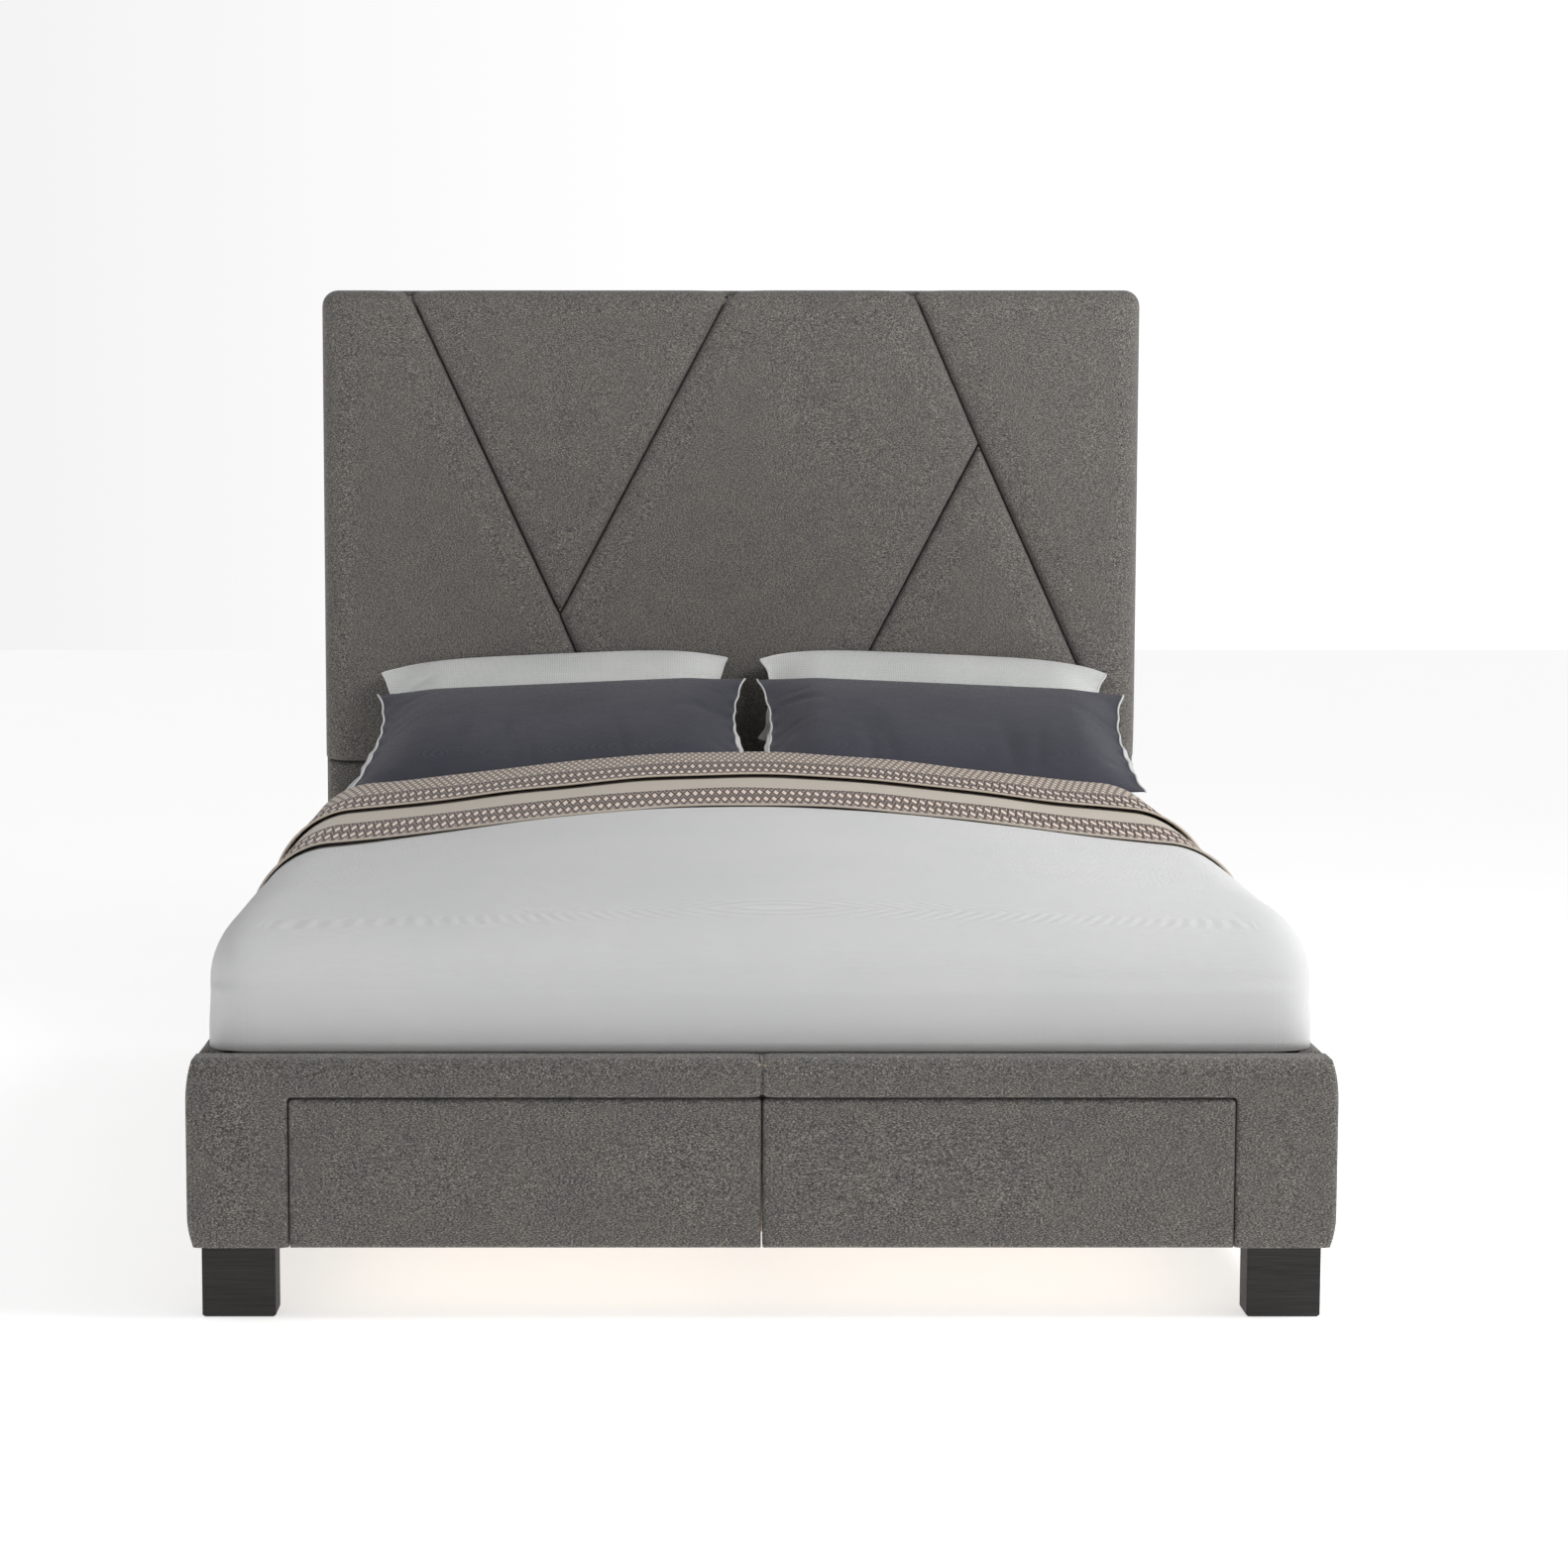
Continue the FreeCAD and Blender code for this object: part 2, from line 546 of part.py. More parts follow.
def cushion_shape(width, deep, thick):
    """A plump closed cushion lying flat about its own middle."""
    wires = []
    for turn in CUSHION_TURNS:
        inset = FACE_INSET * (1 - math.cos(turn)) * deep + size("cushion_hem")
        half_x, half_y = width / 2 - inset, deep / 2 - inset * END_INSET
        corner = min(size("cushion_corner"), half_y * CORNER_SHARE)
        wires.append(rounded_outline(half_x, half_y, corner, math.sin(turn) * thick / 2))
    return Part.makeLoft(wires, True, True)


def pillows():
    """Two white shams against the headboard and two dark pillows leaning in front of them."""
    for kind in ("sham", "pillow"):
        shape = cushion_shape(size(kind + "_width"), size(kind + "_deep"), size(kind + "_thick"))
        lean = FreeCAD.Rotation(FreeCAD.Vector(1, 0, 0), size(kind + "_lean"))
        for name, side in SIDES.items():
            item = doc.addObject("Part::Feature", f"{kind}_{name}")
            item.Shape = shape
            roll = FreeCAD.Rotation(FreeCAD.Vector(0, 1, 0), side * size("pillow_roll"))
            place = FreeCAD.Vector(size(f"{kind}_{name}_x"), size(kind + "_y"), size(kind + "_z"))
            item.Placement = FreeCAD.Placement(place, roll * lean)
            keep(f"{kind}_{name}", item)


def build():
    legs()
    drilled = {"headboard_lower_panel": headboard_panels(), "headboard_backboard": headboard_frame()}
    drilled.update(footboard())
    drilled.update(side_rails())
    bores = corner_fixings()
    for label, solid in drilled.items():
        keep(label, cut(label, solid, bores))
    platform()
    drawer_bay()
    for name, side in SIDES.items():
        drawer(name, side)
    slides()
    bedding()
    pillows()
    doc.recompute()


def check_and_export():
    """Stop on a failed feature or a bad solid, then write one STEP file for each sub-part."""
    for item in doc.Objects:
        if {"Invalid", "Error"} & set(item.State):
            raise RuntimeError(f"{item.Name} failed: {item.State}")
    for label, item in parts.items():
        if item.Shape.isNull() or not item.Shape.isValid() or not item.Shape.Solids:
            raise RuntimeError(f"{label} has no valid solid")
    os.makedirs("parts", exist_ok=True)
    for label, item in parts.items():
        item.Shape.exportStep(f"parts/{label}.step")
    print(len(parts), "sub-parts written")


build()
check_and_export()
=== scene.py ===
import json
import math

import bmesh
import bpy
import numpy as np
from mathutils import Matrix, Vector
from mathutils.bvhtree import BVHTree
from mathutils.geometry import delaunay_2d_cdt


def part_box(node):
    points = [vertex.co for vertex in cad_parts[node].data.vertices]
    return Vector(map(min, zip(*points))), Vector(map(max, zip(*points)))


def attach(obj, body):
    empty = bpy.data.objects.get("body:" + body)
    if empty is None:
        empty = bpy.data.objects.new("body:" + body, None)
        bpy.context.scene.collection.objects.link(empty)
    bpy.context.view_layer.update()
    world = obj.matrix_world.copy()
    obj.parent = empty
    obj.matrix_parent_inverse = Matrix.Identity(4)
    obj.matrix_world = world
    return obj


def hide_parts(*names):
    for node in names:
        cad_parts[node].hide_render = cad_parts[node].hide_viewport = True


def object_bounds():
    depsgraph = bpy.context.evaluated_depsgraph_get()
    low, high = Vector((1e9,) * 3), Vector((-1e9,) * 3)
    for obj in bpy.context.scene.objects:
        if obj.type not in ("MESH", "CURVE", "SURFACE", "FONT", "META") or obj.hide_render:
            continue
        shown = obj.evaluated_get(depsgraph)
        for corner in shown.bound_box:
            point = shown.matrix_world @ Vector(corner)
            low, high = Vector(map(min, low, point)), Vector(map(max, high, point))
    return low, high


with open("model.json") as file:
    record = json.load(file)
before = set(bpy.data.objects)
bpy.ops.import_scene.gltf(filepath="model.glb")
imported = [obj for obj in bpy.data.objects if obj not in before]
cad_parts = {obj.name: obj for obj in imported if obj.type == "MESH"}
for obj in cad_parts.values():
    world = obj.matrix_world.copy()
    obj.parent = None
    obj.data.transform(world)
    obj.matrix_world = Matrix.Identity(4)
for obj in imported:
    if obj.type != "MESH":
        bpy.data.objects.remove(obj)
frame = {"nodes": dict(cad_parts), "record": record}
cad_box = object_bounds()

SIDES = {"left": -1, "right": 1}
HIGH = cad_box[1]
SCENE = bpy.context.scene
QUARTER = math.pi / 2


# ---------------- materials

class Nodes:
    """A node tree in the making, fed by one kind of coordinates."""

    def __init__(self, tree, coordinates):
        self.tree = tree
        self.place = self.node("ShaderNodeTexCoord").outputs[coordinates]

    def node(self, kind, inputs=None, **settings):
        made = self.tree.nodes.new(kind)
        for key, value in settings.items():
            setattr(made, key, value)
        for key, value in (inputs or {}).items():
            self.feed(made.inputs[key], value)
        return made

    def feed(self, socket, value):
        if isinstance(value, bpy.types.NodeSocket):
            self.tree.links.new(value, socket)
        else:
            socket.default_value = value

    def noise(self, per_metre, detail=2.0, roughness=0.5, place=None):
        """Noise with a count of cells for each metre along X, Y and Z."""
        where = self.node("ShaderNodeVectorMath", {0: place or self.place, 1: per_metre},
                          operation="MULTIPLY").outputs[0]
        return self.node("ShaderNodeTexNoise", {"Vector": where, "Scale": 1.0, "Detail": detail,
                                                "Roughness": roughness}).outputs["Fac"]

    def maths(self, operation, first, second=0.0):
        return self.node("ShaderNodeMath", {0: first, 1: second}, operation=operation).outputs[0]

    def times(self, first, second):
        return self.maths("MULTIPLY", first, second)

    def plus(self, first, second):
        return self.maths("ADD", first, second)

    def axis(self, letter, place=None):
        return self.node("ShaderNodeSeparateXYZ", {0: place or self.place}).outputs[letter]

    def threads(self, letters, pitch, place=None):
        """Sines along several axes, added up: the ups and downs of a plain weave."""
        total = None
        for letter in letters:
            wave = self.maths("SINE", self.times(self.axis(letter, place), 2 * math.pi / pitch))
            total = wave if total is None else self.plus(total, wave)
        return total

    def ramp(self, factor, *stops):
        """Colour stops as (position, (red, green, blue)), linear."""
        made = self.node("ShaderNodeValToRGB", {"Fac": factor})
        band = made.color_ramp
        while len(band.elements) < len(stops):
            band.elements.new(0.5)
        for element, (position, colour) in zip(band.elements, stops):
            element.position = position
            element.color = (*colour, 1.0)
        return made.outputs["Color"]

    def step(self, factor, low, high):
        """0 below low, 1 above high and a smooth rise between."""
        return self.node("ShaderNodeMapRange", {"Value": factor, "From Min": low, "From Max": high},
                         interpolation_type="SMOOTHSTEP").outputs["Result"]

    def mix(self, factor, first, second, blend="MIX"):
        made = self.node("ShaderNodeMix", {0: factor}, data_type="RGBA", blend_type=blend)
        for index, value in ((6, first), (7, second)):
            self.feed(made.inputs[index], (*value, 1.0) if isinstance(value, tuple) else value)
        return made.outputs[2]

    def tinted(self, first, second):
        return self.mix(1.0, first, second, "MULTIPLY")


class Shade(Nodes):
    """A material in the making: one Principled shader and what feeds it."""

    def __init__(self, name, **sockets):
        self.material = bpy.data.materials.new(name)
        self.material.use_nodes = True
        super().__init__(self.material.node_tree, "Object")
        self.shader = self.tree.nodes["Principled BSDF"]
        for socket, value in sockets.items():
            self.shader.inputs[socket.replace("_", " ")].default_value = value

    def colour(self, value):
        self.feed(self.shader.inputs["Base Color"], value)

    def roughness(self, value):
        self.feed(self.shader.inputs["Roughness"], value)

    def bump(self, *heights):
        """Bumps as (height output, depth in metres), from the coarsest to the finest."""
        normal = None
        for height, deep in heights:
            inputs = {"Height": height, "Distance": deep}
            if normal is not None:
                inputs["Normal"] = normal
            normal = self.node("ShaderNodeBump", inputs).outputs[0]
        self.feed(self.shader.inputs["Normal"], normal)


def upholstery():
    """Heathered grey-brown linen-look cloth: slubby threads of mixed tones in a plain weave."""
    cloth = Shade("upholstery", Roughness=0.92, Sheen_Weight=0.22, Sheen_Roughness=0.5,
                  Specular_IOR_Level=0.12)
    yarn = cloth.noise((330, 330, 820), 2.0, 0.6)
    fleck = cloth.noise((360, 360, 520), 2.0, 0.6)
    patch = cloth.noise((16, 16, 20), 3.0)
    tone = cloth.ramp(yarn, (0.34, (0.050, 0.048, 0.045)), (0.46, (0.114, 0.109, 0.102)),
                      (0.55, (0.172, 0.164, 0.153)), (0.66, (0.330, 0.314, 0.293)))
    warm = cloth.ramp(fleck, (0.36, (0.62, 0.64, 0.68)), (0.5, (0.98, 0.98, 0.98)),
                      (0.64, (1.34, 1.28, 1.20)))
    soft = cloth.ramp(patch, (0.3, (0.94, 0.95, 0.96)), (0.7, (1.05, 1.04, 1.02)))
    cloth.colour(cloth.tinted(cloth.tinted(tone, warm), soft))
    cloth.bump((yarn, 0.0006))
    return cloth.material


def thread():
    """Twisted sewing thread, a little lighter than the cloth."""
    cord = Shade("thread", Roughness=0.7, Sheen_Weight=0.3)
    twist = cord.threads("XZ", 0.0012)
    cord.colour(cord.ramp(cord.maths("MULTIPLY_ADD", twist, 0.25), (0.2, (0.11, 0.10, 0.09)),
                          (0.8, (0.30, 0.28, 0.25))))
    cord.bump((twist, 0.0002))
    return cord.material


def wood(name, dark, light, grain_axis, roughness, figure=1.0, coat=0.0):
    """Planed wood or board whose grain runs along one axis."""
    timber = Shade(name, Roughness=roughness, Coat_Weight=coat, Coat_Roughness=0.25)
    stretch, fine = [tuple(along if letter == grain_axis else across for letter in "XYZ")
                     for along, across in ((2.2, 38), (9, 520))]
    rings = timber.noise(stretch, 3.0, 0.55)
    pores = timber.noise(fine, 2.0, 0.6)
    lines = timber.maths("SINE", timber.times(rings, 46.0 * figure))
    blend = timber.plus(timber.times(lines, 0.22), timber.times(pores, 0.9))
    middle = tuple((a + b) / 2 for a, b in zip(dark, light))
    timber.colour(timber.ramp(blend, (0.15, dark), (0.45, middle), (0.8, light)))
    timber.roughness(timber.ramp(pores, (0.3, (roughness + 0.12,) * 3), (0.7, (roughness - 0.06,) * 3)))
    timber.bump((lines, 0.00012), (pores, 0.00025))
    return timber.material


def metal(name, colour, roughness, metallic=1.0):
    """Plated or powder-coated steel with fine mottling and rubbed patches."""
    steel = Shade(name, Metallic=metallic)
    spangle = steel.noise((160, 160, 160), 3.0)
    scratch = steel.noise((900, 26, 900), 2.0)
    darker = tuple(0.82 * part for part in colour)
    steel.colour(steel.ramp(spangle, (0.35, darker), (0.65, colour)))
    steel.roughness(steel.ramp(scratch, (0.35, (roughness - 0.08,) * 3), (0.7, (roughness + 0.12,) * 3)))
    steel.bump((spangle, 0.00006), (scratch, 0.00004))
    return steel.material


def cotton(name, dark, light, pitch=0.0007, sheen=0.15, crease=0.0006, roughness=0.8):
    """Closely woven cotton with faint creases from folding."""
    cloth = Shade(name, Roughness=roughness, Sheen_Weight=sheen, Sheen_Roughness=0.35,
                  Specular_IOR_Level=0.25)
    soft = cloth.noise((5, 5, 5), 3.0)
    slub = cloth.noise((60, 900, 900), 2.0)
    tone = cloth.ramp(soft, (0.32, dark), (0.68, light))
    cloth.colour(cloth.mix(0.35, tone, cloth.ramp(slub, (0.3, dark), (0.7, light))))
    fold = cloth.noise((9, 16, 16), 4.0, 0.6)
    cloth.bump((fold, crease * 6), (slub, 0.00006), (cloth.threads("XYZ", pitch), 0.00008))
    return cloth.material


def dotted_cotton():
    """White cotton with a small raised dot in each cell of a slanting lattice, and painted shade between
    the dots.
    """
    cloth = Shade("sham_cotton", Roughness=0.8, Sheen_Weight=0.15, Sheen_Roughness=0.35,
                  Specular_IOR_Level=0.25)
    lean = [cloth.maths(sign, cloth.axis("X"), cloth.axis("Z")) for sign in ("ADD", "SUBTRACT")]
    waves = [cloth.maths("SINE", cloth.times(part, 2 * math.pi / 0.0090)) for part in lean]
    raised = cloth.step(cloth.times(*waves), 0.05, 0.65)
    soft = cloth.noise((5, 5, 5), 3.0)
    tone = cloth.ramp(soft, (0.32, (0.72, 0.73, 0.72)), (0.68, (0.84, 0.84, 0.83)))
    # Painted shade: the ground between the raised dots is coloured 13% darker than the dots, standing in
    # for the shade of the relief.
    cloth.colour(cloth.mix(raised, cloth.tinted(tone, (0.87, 0.88, 0.87)), tone))
    cloth.bump((cloth.noise((9, 16, 16), 4.0, 0.6), 0.003), (raised, 0.0012))
    return cloth.material


def webbing(name, colour, pitch):
    """Coarse woven strap or non-woven dust cloth."""
    strap = Shade(name, Roughness=0.85, Sheen_Weight=0.2)
    weave = strap.threads("XYZ", pitch)
    fibre = strap.noise((700, 700, 700), 3.0)
    lighter = tuple(1.9 * part for part in colour)
    strap.colour(strap.ramp(strap.maths("MULTIPLY_ADD", weave, 0.12), (0.0, colour), (0.3, lighter)))
    strap.bump((weave, 0.0003), (fibre, 0.0002))
    return strap.material


THROW_PLAIN = (0.60, 0.535, 0.455)
THROW_CREAM = (0.90, 0.76, 0.66)
THROW_BROWN = (0.060, 0.024, 0.018)
THROW_TAUPE = (0.235, 0.175, 0.140)


def throw_weave():
    """Beige blanket: two borders of diamonds in cream and brown, and a beige diamond lattice.

    It reads the blanket's own coordinates: U across it and V along it, in metres.
    """
    cloth = Shade("throw_weave", Roughness=0.95, Sheen_Weight=0.2, Specular_IOR_Level=0.1)
    flat = cloth.node("ShaderNodeUVMap", uv_map="cloth").outputs[0]
    across, along = cloth.axis("X", flat), cloth.axis("Y", flat)

    def zigzag(value, pitch, shift=0.0):
        """0 in the middle of each cell and 1 at its edges."""
        cell = cloth.maths("FRACT", cloth.plus(cloth.maths("DIVIDE", value, pitch), shift))
        return cloth.times(cloth.maths("ABSOLUTE", cloth.maths("SUBTRACT", cell, 0.5)), 2.0)

    def within(ends, soft=0.0015):
        low, high = sorted(ends)
        return cloth.times(cloth.step(along, low - soft, low + soft),
                           cloth.step(along, high + soft, high - soft))

    def diamonds(start, end):
        """How far from the middle of the nearest diamond, for rows set through a border from its hem."""
        nearest = None
        for middle, half, shift in MOTIF_ROWS:
            gap = cloth.maths("SUBTRACT", along, start + middle * (end - start))
            rise = cloth.maths("DIVIDE", cloth.maths("ABSOLUTE", gap), half * abs(end - start))
            row = cloth.plus(zigzag(across, MOTIF_PITCH, shift), rise)
            nearest = row if nearest is None else cloth.maths("MINIMUM", nearest, row)
        return nearest

    cell = cloth.plus(zigzag(across, LATTICE_PITCH), zigzag(along, LATTICE_LENGTH))
    net = cloth.ramp(cloth.times(cell, 0.5), (0.0, THROW_CREAM), (0.14, THROW_CREAM),
                     (0.26, THROW_PLAIN), (0.38, THROW_TAUPE), (0.62, THROW_TAUPE), (0.74, THROW_PLAIN),
                     (0.86, THROW_CREAM))
    colour = cloth.mix(within(LATTICE), THROW_PLAIN, net)
    heights = []
    for border in BORDERS:
        motif = diamonds(*border)
        woven = cloth.ramp(cloth.times(motif, 0.5), (0.0, THROW_CREAM), (0.31, THROW_CREAM),
                           (0.37, THROW_BROWN), (0.64, THROW_BROWN), (0.69, THROW_PLAIN),
                           (0.73, THROW_PLAIN), (0.78, THROW_BROWN))
        colour = cloth.mix(within(border), colour, woven)
        heights.append((cloth.times(motif, within(border)), 0.0006))
    grain = cloth.noise((420, 420, 420), 2.0, place=flat)
    tone = cloth.ramp(grain, (0.3, (0.90, 0.90, 0.90)), (0.7, (1.06, 1.06, 1.06)))
    cloth.colour(cloth.tinted(colour, tone))
    cloth.bump(*heights, (grain, 0.0006))
    return cloth.material


# ---------------- meshes

def piece(name, points, faces, *materials):
    """A smooth mesh object whose faces all look outwards."""
    mesh = bpy.data.meshes.new(name)
    mesh.from_pydata([tuple(point) for point in points], [], faces)
    shape = bmesh.new()
    shape.from_mesh(mesh)
    bmesh.ops.remove_doubles(shape, verts=shape.verts, dist=1e-5)
    bmesh.ops.dissolve_degenerate(shape, edges=shape.edges, dist=1e-6)
    bmesh.ops.recalc_face_normals(shape, faces=shape.faces)
    shape.to_mesh(mesh)
    shape.free()
    mesh.shade_smooth()
    for material in materials:
        mesh.materials.append(material)
    made = bpy.data.objects.new(name, mesh)
    SCENE.collection.objects.link(made)
    return made


def belongs(made, body, slot, *nodes, fill=None):
    """Attach a piece to the body it rides and hide the CAD nodes it replaces. slot and fill are not used.
    """
    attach(made, body)
    if nodes:
        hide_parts(*nodes)
    return made


def smooth(value, low, high):
    """0 below low, 1 above high, smooth between, for numbers and arrays."""
    share = np.clip((value - low) / (high - low), 0, 1)
    return share * share * (3 - 2 * share)


def nearest(points, starts, ends):
    """Each point's distance to the closest of some segments, and the closest place on it."""
    along = ends - starts
    share = ((points[:, None] - starts) * along).sum(2) / (along ** 2).sum(1)
    spots = starts + np.clip(share, 0, 1)[..., None] * along
    gaps = np.linalg.norm(points[:, None] - spots, axis=2)
    best = gaps.argmin(1)
    rows = np.arange(len(points))
    return gaps[rows, best], spots[rows, best]


def arc_at(before, corner, after, radius, count=7):
    """The points of the arc that rounds a corner."""
    back = (before - corner) / np.linalg.norm(before - corner)
    forth = (after - corner) / np.linalg.norm(after - corner)
    half = math.acos(np.clip(back @ forth, -1, 1)) / 2
    middle = (back + forth) / np.linalg.norm(back + forth)
    centre = corner + middle * radius / math.sin(half)
    first = corner + back * radius / math.tan(half) - centre
    last = corner + forth * radius / math.tan(half) - centre
    sweep = math.pi - 2 * half
    shares = np.linspace(0, 1, count)
    return [centre + (math.sin((1 - s) * sweep) * first + math.sin(s * sweep) * last) / math.sin(sweep)
            for s in shares]


def outline(corners, kinds, radii):
    """Corner points, with some of them rounded, and the kind of the edge that follows each."""
    corners = [np.array(corner, float) for corner in corners]
    points, follow = [], []
    for index, corner in enumerate(corners):
        if radii[index]:
            arc = arc_at(corners[index - 1], corner, corners[(index + 1) % len(corners)], radii[index])
            points += arc
            follow += [kinds[index - 1]] * (len(arc) - 1) + [kinds[index]]
        else:
            points.append(corner)
            follow.append(kinds[index])
    return np.array(points), follow


def resampled(points, step, closed=True):
    """An outline, or an open line, with points no further apart than step."""
    made = []
    for start, end in zip(points, [*points[1:], points[0]] if closed else points[1:]):
        count = max(1, math.ceil(np.linalg.norm(end - start) / step))
        made += [start + (end - start) * number / count for number in range(count)]
    return np.array(made if closed else made + [points[-1]])


def inside(points, corners):
    """Which points lie inside a polygon."""
    found = np.zeros(len(points), bool)
    x, y = points[:, 0], points[:, 1]
    for (ax, ay), (bx, by) in zip(corners, np.roll(corners, -1, axis=0)):
        if ay != by:
            found ^= ((ay > y) != (by > y)) & (x < (bx - ax) * (y - ay) / (by - ay) + ax)
    return found


def fill_points(corners, rings, step):
    """Points inside an outline: rows that follow its edges, then an even grid."""
    ends = np.roll(corners, -1, axis=0)
    area = 0.5 * (corners[:, 0] * ends[:, 1] - corners[:, 1] * ends[:, 0]).sum()
    rows = []
    for ring in rings:
        for start, end in zip(corners, ends):
            length = np.linalg.norm(end - start)
            inward = np.array([start[1] - end[1], end[0] - start[0]]) / length * math.copysign(1, area)
            count = max(2, math.ceil(length / (step * 0.8)))
            shares = (np.arange(count) + 0.5) / count
            row = start + shares[:, None] * (end - start) + inward * ring
            gaps, _ = nearest(row, corners, ends)
            rows.append(row[gaps > ring - 1e-5])
    low, high = corners.min(0), corners.max(0)
    grid = np.stack(np.meshgrid(np.arange(low[0], high[0], step), np.arange(low[1], high[1], step)), -1)
    grid = grid.reshape(-1, 2)
    gaps, _ = nearest(grid, corners, ends)
    rows.append(grid[gaps > (rings[-1] if rings else 0) + step * 0.6])
    points = np.vstack(rows)
    return points[inside(points, corners)]


def triangles(rim, inner):
    """A Delaunay mesh of a polygon: its points, its faces, and where the rim's points went."""
    everything = [Vector(point) for point in np.vstack([rim, inner])]
    made = delaunay_2d_cdt(everything, [], [list(range(len(rim)))], 1, 1e-7)
    went = {origin: index for index, origins in enumerate(made[3]) for origin in origins}
    points = np.array([point[:] for point in made[0]])
    return points, [list(face) for face in made[2]], [went[index] for index in range(len(rim))]


def outward_normals(rim):
    """Unit normals of a closed outline's points, pointing out of it."""
    along = np.roll(rim, -1, axis=0) - np.roll(rim, 1, axis=0)
    ends = np.roll(rim, -1, axis=0)
    area = (rim[:, 0] * ends[:, 1] - rim[:, 1] * ends[:, 0]).sum()
    normals = np.stack([along[:, 1], -along[:, 0]], 1) * math.copysign(1, area)
    return normals / np.linalg.norm(normals, axis=1)[:, None]


def rectangle(low, high):
    """The four corners of a rectangle, in order round it."""
    return [(low[0], low[1]), (high[0], low[1]), (high[0], high[1]), (low[0], high[1])]


def seen_from_foot(face):
    """A slab's place function for a face that looks towards the foot of the bed."""
    return lambda u, v, w: (u, face + w, v)


class Turn:
    """How padding turns over an edge: reach in from the edge and depth down its side."""

    def __init__(self, reach, deep=None):
        self.reach = reach
        self.deep = reach if deep is None else deep


class Sewn:
    """How padding dips into a seam: a narrow deep crease and a wide shallow dip."""

    def __init__(self, crease, crease_reach, dip, dip_reach):
        self.parts = ((crease, crease_reach), (dip, dip_reach))

    def sink(self, gaps):
        return sum(deep * np.exp(-gaps / reach) for deep, reach in self.parts)


def ripple(points, size):
    """Slow shallow waves that keep stretched cloth from looking machined."""
    u, v = points[:, 0], points[:, 1]
    return size * (np.sin(7.1 * u + 2.3 * v) + np.sin(3.7 * v - 5.3 * u + 1.0) * 0.8
                   + np.sin(17 * u + 11 * v) * 0.4)


def slab(name, corners, kinds, radii, how, depth, place, back_turn=0.003, step=0.012,
         rings=(0.0012, 0.003, 0.006, 0.011, 0.018, 0.027), swell=0.0, wave=0.0004):
    """A padded slab. Its outline is drawn in U and V, and place(u, v, w) puts a point w behind its face.

    kinds names the kind of each edge, and how says for each kind whether the cloth turns over the edge
    there or dips into a seam.
    """
    coarse, follow = outline(corners, kinds, radii)
    ends = np.roll(coarse, -1, axis=0)
    rim = resampled(coarse, step)
    points, faces, went = triangles(rim, fill_points(coarse, rings, step))
    count = len(points)
    drop, sink, lean = np.zeros(count), np.zeros(count), np.zeros((count, 2))
    for kind in sorted(set(follow)):
        chosen = [index for index, other in enumerate(follow) if other == kind]
        gaps, spots = nearest(points, coarse[chosen], ends[chosen])
        if isinstance(how[kind], Turn):
            share = np.clip(1 - gaps / how[kind].reach, 0, 1)
            drop += how[kind].deep * (1 - np.sqrt(1 - share ** 2))
            lean += (spots - points) / np.maximum(gaps, 1e-6)[:, None] * share[:, None]
        else:
            sink += how[kind].sink(gaps)
    normals = outward_normals(rim)
    turned = [isinstance(how[kind], Turn) for kind in follow]
    on_turn, _ = nearest(rim, coarse[turned], ends[turned]) if any(turned) else (np.ones(len(rim)), None)
    lean[went] = np.where(on_turn[:, None] < 1e-6, normals, 0)
    size = np.linalg.norm(lean, axis=1)
    lean /= np.maximum(size, 1)[:, None]
    gaps, _ = nearest(points, coarse, ends)
    swell_here = swell * smooth(gaps, 0, 0.09) + ripple(points, wave) * smooth(gaps, 0, 0.05)
    drop = np.minimum(drop, depth * 0.72)
    forward = np.sqrt(np.maximum(0, 1 - (lean ** 2).sum(1)))
    flat = points - lean * sink[:, None]
    deep = drop + sink * forward - swell_here
    solid = [place(u, v, w) for (u, v), w in zip(flat, deep)]
    first, wall = deep[went], depth - back_turn
    sunk = lean[went] * sink[went][:, None]
    levels = [(rim - sunk * (1 - 0.5 * share), first + (wall - first) * share)
              for share in (0.34, 0.67, 1.0)]
    for angle in (QUARTER / 2, QUARTER):
        moved = rim - normals * (back_turn * (1 - math.cos(angle)) + 0.0001) - sunk * 0.5
        levels.append((moved, np.full(len(rim), wall + back_turn * math.sin(angle))))
    near = list(went)
    for moved, level in levels:
        far = list(range(len(solid), len(solid) + len(rim)))
        solid += [place(u, v, w) for (u, v), w in zip(moved, level)]
        faces += [[*edge, *back[::-1]] for edge, back in zip(zip(near, near[1:] + near[:1]),
                                                             zip(far, far[1:] + far[:1]))]
        near = far
    _, back_faces, back_went = triangles(rim, np.zeros((0, 2)))
    back_index = {there: near[index] for index, there in enumerate(back_went)}
    faces += [[back_index[corner] for corner in face] for face in back_faces]
    return piece(name, solid, faces, MATERIALS["upholstery"])


